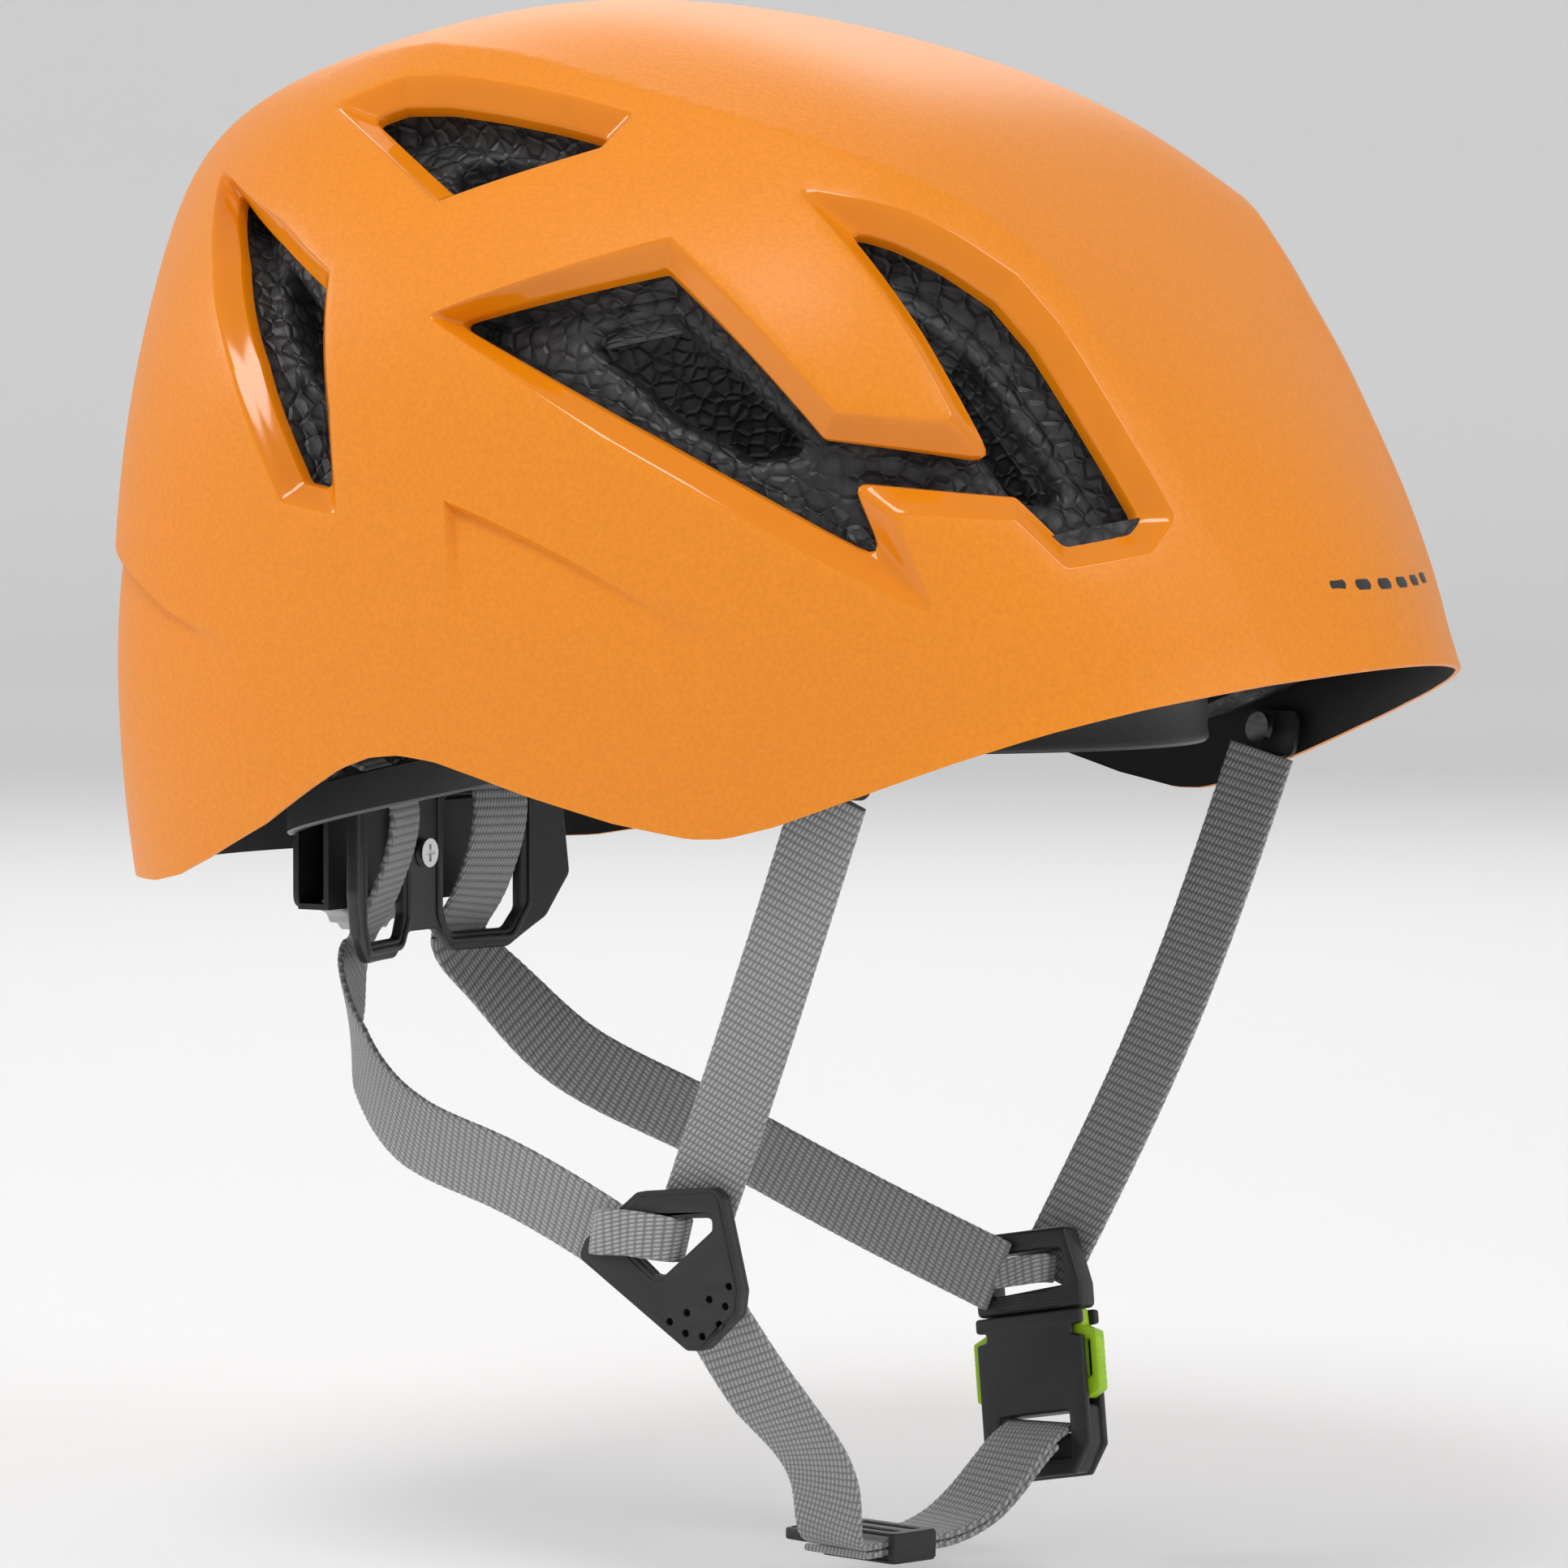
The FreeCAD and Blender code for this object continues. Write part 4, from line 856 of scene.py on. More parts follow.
def build_shell():
    """Outer shell: grained skin, glossy bevelled lips round the vents, and a black inside."""
    spacing = 2.3
    openings = {key: (Opening(corners), width) for key, (corners, width) in VENTS.items()}
    lips = [opening.flat_loop(width, 1.6) for opening, width in openings.values()]
    steps = ((REAR_STEP, STEP_SIDE), (DOWN_LEG, DOWN_SIDE), (SLANT_LEG, SLANT_SIDE))
    lines = [to_flat(TOP_CREASE[::2] - CENTRE)]
    lines += [to_flat(line - CENTRE) for line, _ in steps]
    lines += [to_flat(beside(line, side * 1.3)[1:-1] - CENTRE) for line, side in steps]
    rim = rim_line(0, 0)
    spots, faces = fill_half(half_outline(rim, spacing), lips, lines, spacing)
    points = list(skin(from_flat(*spots.T), np.zeros(1)))
    faces, marks = [tuple(face) for face in faces], [0] * len(faces)
    for opening, width in openings.values():
        profile = [(width, 0, 1.6), (width - 0.35, 0.16, 1.6), (width - 0.9, 0.62, 1.7), (width * 0.5, 2.1, 1.8),
                   (0.75, 3.6, 1.9), (0.25, 4.0, 2.0), (0, 4.6, 2.0), (0, 6.4, 2.0)]
        rings = opening.rows(profile, True)
        faces += strip_faces(len(points), rings)
        marks += [1] * (len(rings[0]) * (len(rings) - 1))
        points += [p for ring in rings for p in ring]
    points, faces, marks = mirrored(points, faces, marks)
    shell = make_object("outer_shell_skin", points, faces, [SHELL_SKIN, LIP_GLOSS, SHELL_INSIDE, SHELL_INSIDE], marks)
    tidy(shell, 0.02)
    point_out(shell)
    bake(shell, ("SOLIDIFY", {"thickness": 1.2 * MM, "offset": -1, "use_rim": True, "material_offset": 2,
                              "use_even_offset": False}), smooth=28)
    return shell


def build_front_print():
    """A plain row of rounded dashes across the front of the shell."""
    spots = []
    for azimuth in (-9.6, -6.4, -3.2, 0, 3.2, 6.4, 9.6):
        direction = ways([azimuth], [-11])
        place, outward = skin(direction, np.full(1, -0.02))[0], on_form(direction)[1][0]
        spots.append((place, outward, np.cross(UPRIGHT, outward)))
    return stamp("front_dashes", small_bar(5.2, 2.2, 0.12), spots, PRINT)


def point_out(thing):
    """Turns the faces of an open dome so that they face away from its centre."""
    mesh = thing.data
    total = 0.0
    for face in mesh.polygons:
        total += (Vector(face.center) - Vector(CENTRE * MM)).dot(face.normal) * face.area
    if total < 0:
        mesh.flip_normals()


def build_liner():
    """Bead foam liner: a recess behind each vent, with a smaller hole on through it."""
    spacing = 4.5
    inner_depth, floor_depth, lift = 20.4, 11.8, 15.5
    through = {key: Opening(corners) for key, corners in THROUGH.items()}
    inner_holes = [opening.flat_loop(0.8, 3) for opening in through.values()]
    rim = rim_line(lift, inner_depth)
    spots, faces = fill_half(half_outline(rim, spacing), inner_holes, [], spacing)
    points = list(skin(from_flat(*spots.T), np.full(1, inner_depth), False))
    faces = [tuple(reversed(face)) for face in faces]
    for opening in through.values():
        profile = [(2.6, floor_depth, 3), (1.2, floor_depth + 0.5, 3), (0.3, floor_depth + 1.8, 3),
                   (0, floor_depth + 4, 3), (0.2, inner_depth - 1, 3), (0.8, inner_depth, 3)]
        rings = opening.rows(profile, False)
        faces += strip_faces(len(points), rings)
        points += [p for ring in rings for p in ring]
    pairs = {"top": ("top",), "rear_side": ("rear_side",), "flash": ("flash_rear", "flash_front"), "back": ("back",)}
    for key, (corners, width) in VENTS.items():
        opening = Opening(corners)
        profile = [(5, 3.4, 1.5), (2.6, 4.4, 2), (1.6, 5.6, 2.2), (1.0, 8, 2.4), (0.2, 10.4, 2.6),
                   (-1.4, floor_depth, 2.0)]
        rings = opening.rows(profile, False)
        faces += strip_faces(len(points), rings)
        points += [p for ring in rings for p in ring]
        floor = to_flat(opening.directions(opening.loop(-1.4, 2.0)))
        holes = [through[name].flat_loop(2.6, 3) for name in pairs[key]]
        spots, floor_faces = fill_half(floor, holes, [], 3.5, False)
        start = len(points)
        points += list(skin(from_flat(*spots.T), np.full(1, floor_depth), False))
        faces += [tuple(i + start for i in face) for face in floor_faces]
    under = []
    for depth, rise in ((20.4, 0), (19.4, -1.2), (12, -1.8), (4.6, -1.2), (3.2, 0.4), (3.2, 22)):
        under.append(skin(from_flat(*rim_line(lift + rise, depth).T), np.full(1, depth), False))
    faces += strip_faces(len(points), under, closed=False)
    points += [p for ring in under for p in ring]
    points, faces, marks = mirrored(points, faces, [0] * len(faces))
    return tidy(make_object("bead_foam_liner", points, faces, BEADS, marks), 0.3, outward=True, smooth=40)


# ------------------------------------------------------------------ pieces and what they ride on

def belongs(piece, nodes, body=None, between=None):
    """Hides the nodes that a piece stands for, then hangs the piece on its body, or, for a piece between two bodies,
    bakes its placement into its mesh.
    """
    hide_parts(*nodes)
    if between:
        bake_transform(piece)
    else:
        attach(piece, body)
    return piece


def wall(azimuth, elevation, depth):
    direction = ways([azimuth], [elevation])
    return skin(direction, depth, False)[0]


# ------------------------------------------------------------------ headband and pads

RING_FRONT, RING_REAR, RING_SIDE = 97, 95, 73
BAND_HEIGHT = -3
PIVOT = (15, -12)
ARM_GROW = 3.2
UPRIGHT = np.array([0.0, 0, 1])


def on_ring(angle, grow, height):
    turn = math.radians(angle)
    reach = RING_FRONT if math.cos(turn) > 0 else RING_REAR
    return np.array([(reach + grow) * math.cos(turn), (RING_SIDE + grow) * math.sin(turn), height])


def ring_path(first, last, grow, height, steps=90):
    return np.array([on_ring(first + (last - first) * i / steps, grow, height) for i in range(steps + 1)])


def rimmed_section(width, thick, bead, proud):
    """Flat strip whose two edges are thickened into rounded beads."""
    half, flat = width / 2, thick / 2
    right = [(half - 2.2 * bead, flat), (half - 1.5 * bead, flat + proud), (half - 0.6 * bead, flat + proud),
             (half, flat * 0.6), (half, -flat * 0.6), (half - 0.5 * bead, -flat), (half - 2.2 * bead, -flat)]
    left = [(-a, b) for a, b in reversed(right)]
    return [(-half * 0.3, flat), (half * 0.3, flat)] + right + [(half * 0.3, -flat), (-half * 0.3, -flat)] + left


def ring_strip(name, first, last, grow, height, section, material):
    path = ring_path(first, last, grow, height)
    return sweep(name, path, np.tile(UPRIGHT, (len(path), 1)), section, material, smooth=32)


def rounded_section(width, thick, power=3.2, count=28):
    """Closed section like a squeezed cushion."""
    section = []
    for k in range(count):
        turn = 2 * math.pi * k / count
        c, s = math.cos(turn), math.sin(turn)
        section.append((width / 2 * math.copysign(abs(c) ** (2 / power), c),
                        thick / 2 * math.copysign(abs(s) ** (2 / power), s)))
    return section


def pad_on_ring(name, first, last, tall, thick):
    """Cushion with rounded ends and a row of shallow quilted dips along it."""
    path = ring_path(first, last, -(1.6 + thick) / 2 - 0.4, BAND_HEIGHT, 110)
    total = np.linalg.norm(np.diff(path, axis=0), axis=1).sum()

    def swell(length, section):
        end = min(length, total - length) / 7
        full = math.sqrt(max(1 - (1 - min(end, 1)) ** 2, 0.03))
        dip = 1 - 0.24 * math.exp(-((length / total * 6 % 1 - 0.5) / 0.08) ** 2)
        return [(a * (0.4 + 0.6 * full), b * full * dip) for a, b in section]

    return sweep(name, path, np.tile(UPRIGHT, (len(path), 1)), rounded_section(tall, thick), PAD_CLOTH, swell, 60)


def build_crown_pad():
    """Crown cushion under the top of the liner, quilted in rows."""
    rows, columns = 44, 22
    points, faces = [], []
    for layer in (0, 1):
        for i in range(rows + 1):
            for k in range(columns + 1):
                u, w = 2 * i / rows - 1, 2 * k / columns - 1
                edge = max((1 - abs(u) ** 6) * (1 - abs(w) ** 6), 0) ** 0.5
                dip = 1 - 0.3 * math.exp(-((abs(u) * 3 % 1 - 0.5) / 0.09) ** 2)
                direction = np.array([[54.5 * u + 1, 24.5 * w, 54]])
                thick = 2.6 * edge * dip
                depth = 24 + (thick if layer else -min(2.6 * edge, 2.6))
                points.append(skin(direction / np.linalg.norm(direction), depth, False)[0])
    row = columns + 1
    size = (rows + 1) * row
    for i in range(rows):
        for k in range(columns):
            a = i * row + k
            faces.append((a, a + row, a + row + 1, a + 1))
            faces.append((a + size, a + size + 1, a + size + row + 1, a + size + row))
    return tidy(make_object("crown_cushion", points, faces, PAD_CLOTH, smooth=60), 0.25)


def build_headband():
    band = ring_strip("front_headband_strip", -78, 78, 0, BAND_HEIGHT, rimmed_section(22, 1.6, 1.1, 0.25), NYLON)
    belongs(band, ["front_headband"], SHELL)
    bars = []
    for side in (-1, 1):
        for i in range(7):
            angle = side * (18 + 2.6 * i)
            place = on_ring(angle, 0.8, BAND_HEIGHT + 4)
            outward = on_ring(angle, 5, BAND_HEIGHT + 4) - place
            bars.append((place, outward / np.linalg.norm(outward), UPRIGHT))
    marks = stamp("headband_size_ribs", small_bar(7.0, 1.0, 0.3), bars, NYLON)
    belongs(marks, ["front_headband"], SHELL)
    for name, first, last in (("brow_cushion", -38, 38), ("side_cushion_right", -44, -74),
                              ("side_cushion_left", 44, 74)):
        node = {"brow_cushion": "brow_pad", "side_cushion_right": "side_pad_right",
                "side_cushion_left": "side_pad_left"}[name]
        cushion = puff(pad_on_ring(name, first, last, 19.6, 5.6))
        belongs(cushion, [node], SHELL)
    crown = puff(build_crown_pad())
    belongs(crown, ["crown_pad"], SHELL)
    patches = [ring_strip("patch", side * 40, side * 56, 1.45, BAND_HEIGHT - 3, flat_section(12, 1.2), HOOK_TAPE)
               for side in (-1, 1)]
    belongs(join("hook_tape_patches", patches), ["hook_patches"], SHELL)


def puff(cushion):
    """Blows a cushion up slightly with a short cloth run, keeping it near where it was laid."""
    bake(cushion, ("REMESH", {"mode": "VOXEL", "voxel_size": 2.4 * MM, "use_smooth_shade": True}))
    rest = np.array([v.co for v in cushion.data.vertices])
    cloth = cushion.modifiers.new("blow", "CLOTH")
    cloth.settings.use_pressure = True
    cloth.settings.uniform_pressure_force = 4
    cloth.settings.effector_weights.gravity = 0
    cloth.settings.tension_stiffness = 40
    cloth.point_cache.frame_start, cloth.point_cache.frame_end = 1, 20
    for moment in range(1, 21):
        bpy.context.scene.frame_set(moment)
    blown = bpy.data.meshes.new_from_object(cushion.evaluated_get(bpy.context.evaluated_depsgraph_get()))
    cushion.modifiers.clear()
    bpy.context.scene.frame_set(1)
    moved = np.array([v.co for v in blown.vertices])
    shift = moved - rest
    far = np.linalg.norm(shift, axis=1)[:, None]
    kept = rest + shift * np.minimum(1, 0.35 * MM / np.maximum(far, 1e-9))
    cushion.data.vertices.foreach_set("co", kept.ravel())
    bpy.data.meshes.remove(blown)
    return bake(cushion, ("SUBSURF", {"levels": 1, "render_levels": 1}), smooth=60)


# ------------------------------------------------------------------ arms, cradle and adjuster

def arm_height(x):
    return PIVOT[1] + 0.19 * (x - PIVOT[0])


def build_arms():
    front = math.degrees(math.acos(PIVOT[0] / (RING_FRONT + ARM_GROW)))
    rear = 180 - math.degrees(math.asin(32 / (RING_SIDE + ARM_GROW)))
    reach = on_ring(front, ARM_GROW, 0)[1]
    for name, side in (("arm_right", -1), ("arm_left", 1)):
        path = ring_path(side * front, side * rear, ARM_GROW, 0, 120)
        path[:, 2] = arm_height(path[:, 0])
        strip = sweep(name + "_strip", path, np.tile(UPRIGHT, (len(path), 1)), rimmed_section(8, 2.0, 0.8, 0.2), SATIN)
        eye = turned(name + "_eye", [(2.7, -1.5), (5.6, -1.5), (5.9, -1.1), (5.9, 1.1), (5.6, 1.5), (2.7, 1.5)], SATIN,
                     lambda x, y, z, s=side: (PIVOT[0] + x, s * (reach + z - 0.5), PIVOT[1] + y), hollow=True)
        belongs(join(name + "_moulding", [strip, eye]), [name], "cradle")


CRADLE_TOP, CRADLE_FOOT = -25, -62
CRADLE_RADIUS = 79.75
AXIS_HEIGHT = -40.8


def round_nape(x, y, z):
    radius = CRADLE_RADIUS + z
    return -math.sqrt(radius ** 2 - x ** 2), x, y


def behind(start):
    """Lays x across, y up from the wheel's axis, and z to the rear from a given place."""
    return lambda x, y, z: (start - z, -x, AXIS_HEIGHT + y)


def build_cradle():
    half, top, foot = 38, CRADLE_TOP, CRADLE_FOOT
    right = [(half, top), (half + 2, foot + 15), (half - 3, foot + 6), (26, foot), (11, foot), (5, foot + 5)]
    outline = right + [(-x, y) for x, y in reversed(right)]
    windows = []
    for side in (-1, 1):
        window = [(side * 7.5, top - 4.5), (side * 29, top - 4.5), (side * 29, foot + 8), (side * 26, foot + 4),
                  (side * 9.5, foot + 4), (side * 7.5, foot + 9)]
        windows.append(soften(window, 2.2))
    body = plate("nape_cradle_moulding", [soften(anticlockwise(outline), 3.5, 7)] + windows, 1.25, 0.7, round_nape, NYLON,
                 step=2, rounds=3)
    rims = []
    for side in (-1, 1):
        loop = soften(anticlockwise([(side * 5.6, top - 2.6), (side * 31, top - 2.6), (side * 31, foot + 9),
                                     (side * 27, foot + 2.2), (side * 8.6, foot + 2.2), (side * 5.6, foot + 8)]), 2.6, 6)
        count = len(loop)
        path = np.array([round_nape(x, y, -1.35) for x, y in loop + loop[:1]])
        rims.append(sweep("rim", path, np.tile(UPRIGHT * 0.01 + np.array([1.0, 0, 0]), (count + 1, 1)),
                          rounded_section(0.9, 1.5, 2, 10), NYLON, smooth=70))
    piece = join("nape_cradle_piece", [body] + rims)
    belongs(piece, ["nape_cradle"], "cradle")


def build_adjuster():
    cover = plate("cover_plate", [soften([(-30.9, -10.1), (30.9, -10.1), (30.9, 10.1), (-30.9, 10.1)], 3, 6),
                                  circle(3.6, 0, 0)], 0.75, 0.35, behind(-88.5 - 0.75), BLACK)
    bars = [((*behind(-90)(x, 0, 0),), (-1, 0, 0), (0, 0, 1)) for x in (-27, -25, -23, 23, 25, 27)]
    ribs_on_cover = stamp("cover_ribs", small_bar(12, 0.9, 0.35), [(np.array(p), f, a) for p, f, a in bars], BLACK)
    belongs(join("housing_cover_piece", [cover, ribs_on_cover]), ["housing_cover"], "cradle")
    start = -90.4
    outline = []
    for k in range(192):
        turn = 2 * math.pi * k / 192
        radius = 16.95 - 0.75 * (0.5 - 0.5 * math.cos(24 * turn)) ** 0.6
        outline.append((radius * math.cos(turn), radius * math.sin(turn)))
    rim = plate("rim", [outline, circle(12, 0, 0)], 3, 0.6, behind(start - 3), WHEEL_GREY, rounds=3)
    dish = turned("dish", [(1.6, 0.4), (12.4, 0.4), (12.4, 4.2), (11.4, 4.2), (10.4, 3.2), (5.6, 3.2), (4.8, 4.6),
                           (4.4, 5.2), (1.6, 5.2)], WHEEL_GREY, behind(start), 72, hollow=True)
    belongs(join("adjuster_wheel_piece", [rim, dish]), ["adjuster_wheel"], "wheel")


def circle(radius, x, y, count=24):
    return [(x + radius * math.cos(2 * math.pi * k / count), y + radius * math.sin(2 * math.pi * k / count))
            for k in range(count)]


# ------------------------------------------------------------------ webbing fittings

DIVIDER = np.array([23.0, -64, -112])
BUCKLE_TOP = Vector((34.8, 56, -118.5))
BUCKLE_TURN = Matrix.Rotation(math.radians(-10), 3, "Y") @ Matrix.Rotation(math.radians(-9), 3, "X")
PLUG_FOOT, SOCKET_FOOT = -17, -51


def at_divider(x, y, z):
    return DIVIDER[0] + x, DIVIDER[1] - z, DIVIDER[2] + y


def buckle(wide, up, thick):
    return tuple(BUCKLE_TOP + BUCKLE_TURN @ Vector((wide, thick, up)))


def lifted(place, height):
    return lambda x, y, z: place(x, y, z + height)


def build_divider():
    outline = ((-20, -1), (-18.5, 2.5), (-6.6, 12.5), (10.5, 14.2), (12.6, 12.5), (17, -5.3), (16.4, -10),
               (8.6, -17.4), (4.8, -17.6))
    window = ((-10.5, 7), (10.5, 8.5), (10.5, 6), (-0.5, -3.5), (-3, -3.5), (-10.5, 2.5))
    holes = ((14.4, -4.5), (10, -7.3), (13.6, -8.4), (4.9, -10.2), (12.2, -12), (1, -12.2), (4.6, -14.2), (8.4, -14.6))
    edge = soften(anticlockwise(outline), 1.8, 6)
    gap = soften(anticlockwise(window), 1.0, 5)
    dimples = [circle(0.75, x, y, 16) for x, y in holes]
    back = plate("back", [edge, gap], 1.1, 0.7, lifted(at_divider, 1.1), BLACK, rounds=3)
    front = plate("front", [edge, gap] + dimples, 1.0, 0.12, lifted(at_divider, 2.7), BLACK)
    face = plate("face", [soften(offset(anticlockwise(outline), -0.9), 1.4, 6), soften(offset(anticlockwise(window),
                 0.9), 1.2, 5)] + dimples, 0.25, 0.2, lifted(at_divider, 3.72), BLACK)
    belongs(join("strap_divider_piece", [back, front, face]), ["strap_divider"], "divider")


def build_plug():
    half, foot = 12.5, PLUG_FOOT
    outline = ((-half + 3, 0), (half - 3, 0), (half, foot + 5), (half, foot), (-half, foot), (-half, foot + 5),
               (-half - 5, foot + 8), (-half - 3, foot + 11), (-half + 2, -6))
    window = ((-8.5, -4.5), (8.5, -4.5), (8.5, foot + 5), (-8.5, foot + 4))
    frame_piece = plate("frame", [soften(anticlockwise(outline), 1.4, 6), soften(anticlockwise(window), 1, 5)], 3.1, 0.9,
                        buckle, BLACK, rounds=3)
    tongue = plate("tongue", [soften(((-4.6, foot + 1), (-4.6, foot - 17), (4.6, foot - 17), (4.6, foot + 1)), 1.6)],
                   1.55, 0.5, buckle, BLACK)
    out = np.array(buckle(0, 0, 1)) - np.array(buckle(0, 0, 0))
    wide = np.array(buckle(1, 0, 0)) - np.array(buckle(0, 0, 0))
    spots = [(np.array(buckle(0, foot + 1 + 1.3 * i, side * 3.05)), out * side, wide) for i in range(3)
             for side in (-1, 1)]
    lines = stamp("plug_lines", small_bar(15, 0.7, 0.2), spots, BLACK)
    belongs(join("buckle_plug_piece", [frame_piece, tongue, lines]), ["buckle_plug"], SHELL)


def build_socket():
    half, top, foot = 12.5, -17.3, SOCKET_FOOT
    side = [(half, top), (half, top - 3), (half - 2.4, top - 3.2), (half - 2.4, top - 5), (half, top - 5.4),
            (half, foot + 6), (half - 4, foot)]
    outline = anticlockwise(side + [(-x, y) for x, y in reversed(side)])
    slot_way = soften(anticlockwise(((-8.2, foot + 8.5), (8.2, foot + 8.5), (8.2, foot + 13), (-8.2, foot + 13))), 0.8)
    exit_way = soften(anticlockwise(((-8.2, foot + 3.5), (8.2, foot + 3.5), (8.2, foot + 13), (-8.2, foot + 13))), 0.8)
    core = anticlockwise(((-half + 0.5, top - 19.5), (half - 0.5, top - 19.5), (half - 0.5, foot + 6.2),
                          (half - 4, foot + 0.4), (-half + 4, foot + 0.4), (-half + 0.5, foot + 6.2)))
    outer = plate("outer", [soften(outline, 0.8, 5), slot_way, circle(0.8, 0, top - 14, 16)], 0.95, 0.6,
                  lifted(buckle, 3.2), BLACK, rounds=3)
    inner = plate("inner", [soften(outline, 0.8, 5), exit_way], 0.95, 0.6, lifted(buckle, -3.2), BLACK, rounds=3)
    middle = plate("middle", [soften(core, 1.2), slot_way], 2.6, 0.2, buckle, BLACK)
    badge = plate("badge", [soften(((-5, top - 11), (-5, top - 3), (5, top - 3), (5, top - 11)), 2.4, 8)], 0.3, 0.2,
                  lifted(buckle, 4.0), BLACK)
    belongs(join("buckle_socket_piece", [outer, inner, middle, badge]), ["buckle_socket"], "socket")


def build_prongs():
    half, foot = 12.5, PLUG_FOOT - 0.1
    across = np.array(buckle(1, 0, 0)) - np.array(buckle(0, 0, 0))
    out = np.array(buckle(0, 0, 1)) - np.array(buckle(0, 0, 0))
    for name, side in (("prong_rear", -1), ("prong_front", 1)):
        outline = [(side * x, y) for x, y in ((half - 3.6, foot), (half - 1.2, foot), (half - 1, foot - 3.5),
                   (half + 2.2, foot - 5), (half + 2.2, foot - 17), (half - 0.6, foot - 18.5), (half - 4, foot - 18.5))]
        slot_loop = [(side * x, y) for x, y in ((half - 1.6, foot - 6.5), (half + 0.4, foot - 6.5),
                     (half + 0.4, foot - 14), (half - 1.6, foot - 15))]
        body = plate("body", [soften(anticlockwise(outline), 0.8), soften(anticlockwise(slot_loop), 0.5)], 1.7, 0.45,
                     buckle, LIME, rounds=3)
        spots = [(np.array(buckle(side * (half + 1.95), foot - 6.2 - 1.5 * i, 0)), side * across, out) for i in range(7)]
        grip = stamp("grip", small_bar(3.0, 0.9, 0.42), spots, LIME)
        belongs(join(name + "_piece", [body, grip]), [name], name.replace("prong_", "") + "_prong")


SLIDER = np.array([33.0, -3, -175])
SLIDER_RUN = np.array([4, 20, -0.5]) / np.linalg.norm([4, 20, -0.5])
SLIDER_WIDE = np.array([1, -0.2, 0]) - SLIDER_RUN * (np.array([1, -0.2, 0]) @ SLIDER_RUN)
SLIDER_WIDE = SLIDER_WIDE / np.linalg.norm(SLIDER_WIDE)
SLIDER_UP = np.cross(SLIDER_WIDE, SLIDER_RUN)


def at_slider(x, y, z):
    return SLIDER + SLIDER_RUN * x + SLIDER_WIDE * y + SLIDER_UP * z


def build_slider():
    """Flat three-bar slider: two slotted faces joined along the sides, with a pull tab."""
    rim = 9.85
    outline = soften(((-6.5, -rim), (6.5, -rim), (6.5, rim), (-6.5, rim)), 1.6, 6)
    slots = [soften(((x - 1.3, -7.4), (x + 1.3, -7.4), (x + 1.3, 7.4), (x - 1.3, 7.4)), 0.9) for x in (-2.9, 2.9)]
    faces = [plate("face", [outline] + slots, 0.36, 0.3, lifted(at_slider, side * 2.72), BLACK) for side in (-1, 1)]
    sides = [plate("side", [soften(((-6.4, side * 8.0), (-6.4, side * 9.8), (6.4, side * 9.8), (6.4, side * 8.0)), 0.5)],
                   2.7, 0.3, at_slider, BLACK) for side in (-1, 1)]
    tab = plate("tab", [soften(((-5.5, -rim - 11), (1.5, -rim - 11), (3.5, -rim + 1), (-6.5, -rim + 1)), 1.5, 6)], 1.2, 0.5,
                at_slider, BLACK)
    spots = [(np.array(at_slider(-2, -rim - 3 - 1.6 * i, 1.15)), SLIDER_UP, SLIDER_RUN) for i in range(5)]
    grip = stamp("grip", small_bar(5.5, 0.8, 0.35), spots, BLACK)
    belongs(join("chin_slider_piece", faces + sides + [tab, grip]), ["chin_slider"], "slider")


# ------------------------------------------------------------------ webbing

def strap_pieces(name, node, stations, widths, cuts, lean=0, keep=(0, None)):
    """One strap cut where its bodies meet. cuts are (first, last, body or pair) by station."""
    path, low, share = spline_through(stations, 0.42)
    across = spread(widths, low, share)
    length = np.concatenate([[0], np.cumsum(np.linalg.norm(np.diff(path, axis=0), axis=1))])
    marks = [int(np.argmin(np.linalg.norm(path - np.array(s), axis=1))) for s in stations]
    marks[0], marks[-1] = 0, len(path) - 1
    for number, (first, last, rides) in enumerate(cuts):
        a, b = marks[first], marks[last] + 1
        piece = webbing("%s_%d" % (name, number + 1), path[a:b], across[a:b], lean, length[a])
        if isinstance(rides, str):
            belongs(piece, [node], rides)
        else:
            belongs(piece, [node], between=(*rides, path[a], path[b - 1]))


def front_stations(side, end):
    start = wall(side * 50, -28, 5.1) + (0, -side, -3)
    return [start, start + (np.array(end) - start) / 2 + (2, side * 3, 0), end]


def rear_stations(side, rest):
    middle = 18.25
    return [wall(side * 160, -24, 22.6), (-86.5, side * (middle + 5), -17), (-72, side * middle, -27),
            (-75, side * middle, -46.5), (-78.5, side * middle, -53), (-81.9, side * (middle + 0.3), -58.5)] + rest


def build_fold(name, node, body, place, stations, width):
    """The end of a strap folded over a bar of its fitting."""
    path, low, share = spline_through([place(*s) for s in stations], 0.42)
    origin = np.array(place(0, 0, 0))
    across = np.tile(np.array(place(0.25, 1, 0)) - origin, (len(path), 1))
    section = flat_section(width, WEB_THICK)
    piece = sweep(name, path, across, section, WEBBING, lambda length, plain: ribs(length, plain), smooth=60)
    belongs(piece, [node], body)


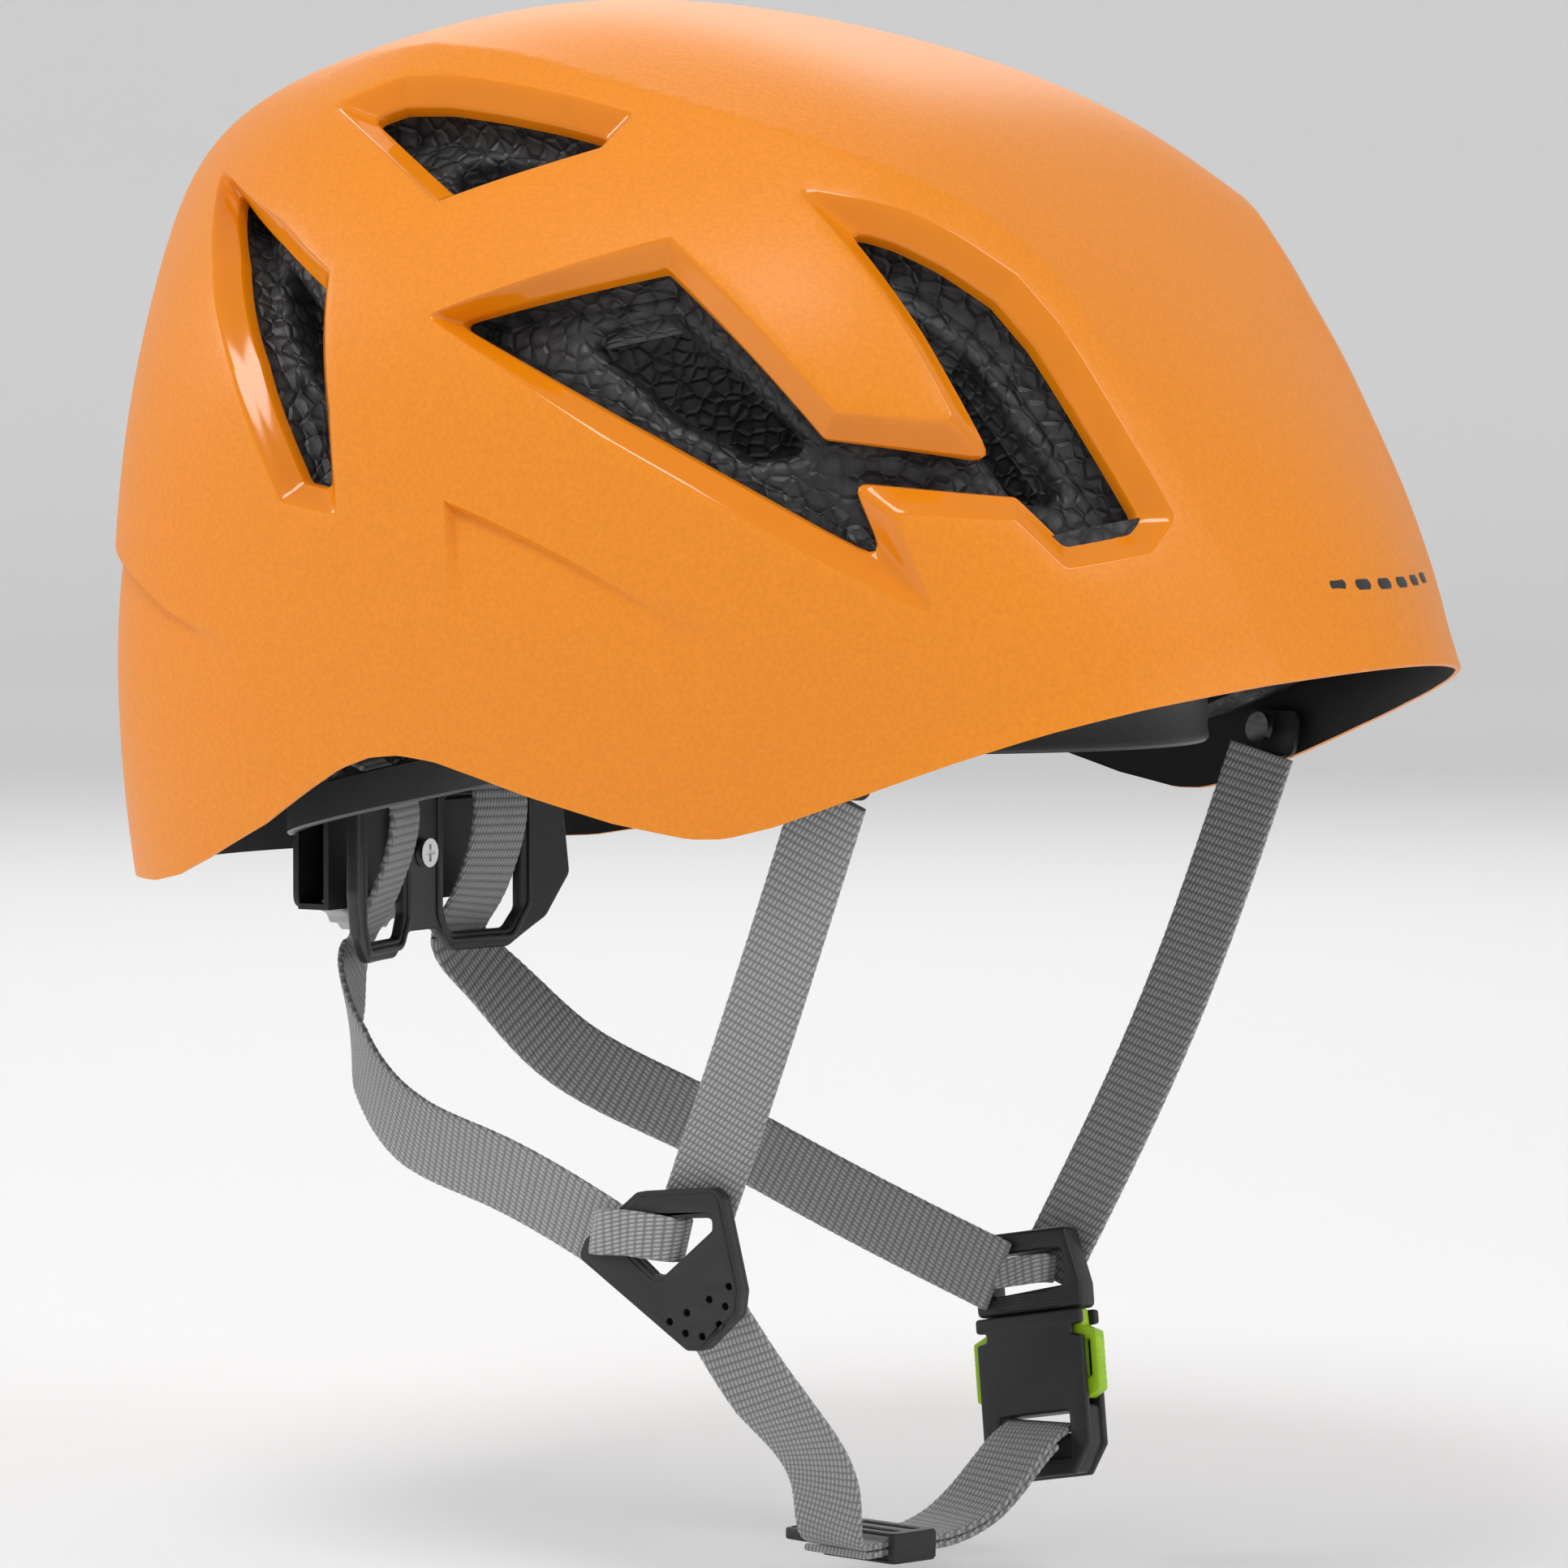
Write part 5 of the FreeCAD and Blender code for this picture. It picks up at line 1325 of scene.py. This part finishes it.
def build_straps():
    build_fold("right_rear_strap_fold", "right_rear_strap", "divider", at_divider,
               [(2, 3.4, -0.6), (1.2, 3.6, 2.4), (-3, 4.2, 4.75), (-9, 4.6, 4.9), (-14.4, 4.4, 4.7), (-16.6, 4.2, 3.2)], 9)
    build_fold("left_rear_strap_fold", "left_rear_strap", SHELL, buckle,
               [(4.5, -8.2, 0.4), (3.4, -8.2, -3.2), (-1, -8.3, -4.1), (-6, -8.4, -4.2), (-9.6, -8.6, -3.9)], 6)
    ahead = [(1, 0, 0)] * 3
    right_end = DIVIDER + (3, 3.4, 9)
    strap_pieces("right_front_strap_web", "right_front_strap", front_stations(-1, right_end), ahead,
                 [(0, 2, (SHELL, "divider"))])
    strap_pieces("left_front_strap_web", "left_front_strap", front_stations(1, buckle(0, -9, 4.4)), ahead,
                 [(0, 2, SHELL)])
    plans = ((-1, "right_rear_strap", [(-79.5, -25, -67.5), (-67, -40, -80), (-47, -52, -92), (-24, -58, -98),
                                       DIVIDER + (-10, 1.8, -0.5)], (SHELL, "divider")),
             (1, "left_rear_strap", [(-78.5, 24, -67.5), (-66, 35, -84), (-44, 46, -97), (-12, 52, -112),
                                     buckle(-6, -9, -4.4)], SHELL))
    for side, node, rest, last in plans:
        widths = ([(0.24, side, 0)] * 6 + [(0.3, side * 0.9, 0.3), (0.55, side * 0.5, 0.75)]
                  + [(0.4, side * 0.12, 0.9)] * 3)
        strap_pieces(node + "_web", node, rear_stations(side, rest), widths,
                     [(0, 2, (SHELL, "cradle")), (2, 5, "cradle"), (5, 7, ("cradle", SHELL)), (7, 10, last)])
    in_slider = [SLIDER + np.array([4, 20, -0.5]) * share for share in (-0.62, -0.2, 0.2, 0.62)]
    chin = [DIVIDER + (5, 2.4, -9), (34, -47, -142), (34, -26, -163)] + in_slider
    chin += [(39.5, 24, -170.5), buckle(0, SOCKET_FOOT + 7.5, -8), buckle(0, SOCKET_FOOT + 10.3, -0.5)]
    widths = [(0.95, 0, 0.3), (0.9, 0.2, 0.25), (1, 0, 0)] + [(1, -0.2, 0)] * 4 + [(1, 0, 0)] * 3
    strap_pieces("chin_strap_web", "chin_strap", chin, widths,
                 [(0, 1, ("divider", SHELL)), (1, 3, (SHELL, "socket")), (3, 9, "socket")], -0.815)
    strap_pieces("chin_strap_tail_web", "chin_strap_tail", chin, widths, [(3, 8, "socket")], 0.815)


# ------------------------------------------------------------------ the rest of the nodes

FINISHES = {"adjuster_housing": BLACK, "pinion": NYLON, "ratchet_band_right": SATIN, "ratchet_band_left": SATIN,
            "detent_spring": STEEL, "wheel_screw": STEEL, "front_anchor_right": BLACK, "front_anchor_left": BLACK,
            "rear_anchor_right": BLACK, "rear_anchor_left": BLACK, "anchor_rivets": STEEL, "liner_studs": BLACK,
            "side_mount_right": BLACK, "side_mount_left": BLACK}


def build_helmet():
    belongs(build_shell(), ["outer_shell"], SHELL)
    belongs(build_front_print(), ["outer_shell"], SHELL)
    belongs(build_liner(), ["eps_liner"], SHELL)
    build_headband()
    build_arms()
    build_cradle()
    build_adjuster()
    build_divider()
    build_plug()
    build_socket()
    build_prongs()
    build_slider()
    build_straps()
    for name, material in FINISHES.items():
        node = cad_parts[name]
        node.data.materials.clear()
        node.data.materials.append(material)


build_helmet()


# ------------------------------------------------------------------ stage, light and camera

def build_stage():
    points, faces = [], []
    count = 48
    for i, (reach, height) in enumerate(((0, -185), (3000, -185), (3400, -150), (3700, 200), (3800, 2600))):
        for k in range(count):
            turn = 2 * math.pi * k / count
            points.append((max(reach, 1) * math.cos(turn), max(reach, 1) * math.sin(turn), height))
        if i:
            for k in range(count):
                a, b = (i - 1) * count + k, (i - 1) * count + (k + 1) % count
                faces.append((a, b, b + count, a + count))
    material, nodes, links, shader = bare("pale_floor", (0.93, 0.93, 0.93), 0.7)
    floor = make_object("studio_floor", points, faces, material, smooth=60)
    for name, place, size, power in (("key", (0.2, -1.4, 2.0), 0.9, 22), ("front", (1.9, -0.2, 1.3), 0.8, 9),
                                     ("rear", (-1.9, -0.9, 0.9), 0.6, 9), ("back", (-1.0, 1.7, 1.3), 1.2, 10)):
        data = bpy.data.lights.new(name, "AREA")
        data.size, data.energy = size, power
        lamp = bpy.data.objects.new(name, data)
        lamp.location = place
        lamp.rotation_euler = (Vector((0, 0, -0.03)) - Vector(place)).to_track_quat("-Z", "Y").to_euler()
        bpy.context.scene.collection.objects.link(lamp)
    world = bpy.data.worlds.new("soft_white")
    world.use_nodes = True
    world.node_tree.nodes["Background"].inputs["Color"].default_value = (1, 1, 1, 1)
    world.node_tree.nodes["Background"].inputs["Strength"].default_value = 0.5
    bpy.context.scene.world = world
    bpy.context.scene.view_settings.view_transform = "Standard"


def build_camera():
    azimuth, elevation = math.radians(31.29), math.radians(2.39)
    forward = Vector((-math.sin(azimuth) * math.cos(elevation), math.cos(azimuth) * math.cos(elevation),
                      -math.sin(elevation)))
    data = bpy.data.cameras.new("camera")
    data.lens, data.sensor_width = 170.5, 36
    data.shift_x, data.shift_y = 0.0243, -0.0763
    data.clip_end = 20
    camera = bpy.data.objects.new("camera", data)
    camera.location = -forward * 1.5
    camera.rotation_euler = forward.to_track_quat("-Z", "Y").to_euler()
    bpy.context.scene.collection.objects.link(camera)
    bpy.context.scene.camera = camera


build_stage()
build_camera()
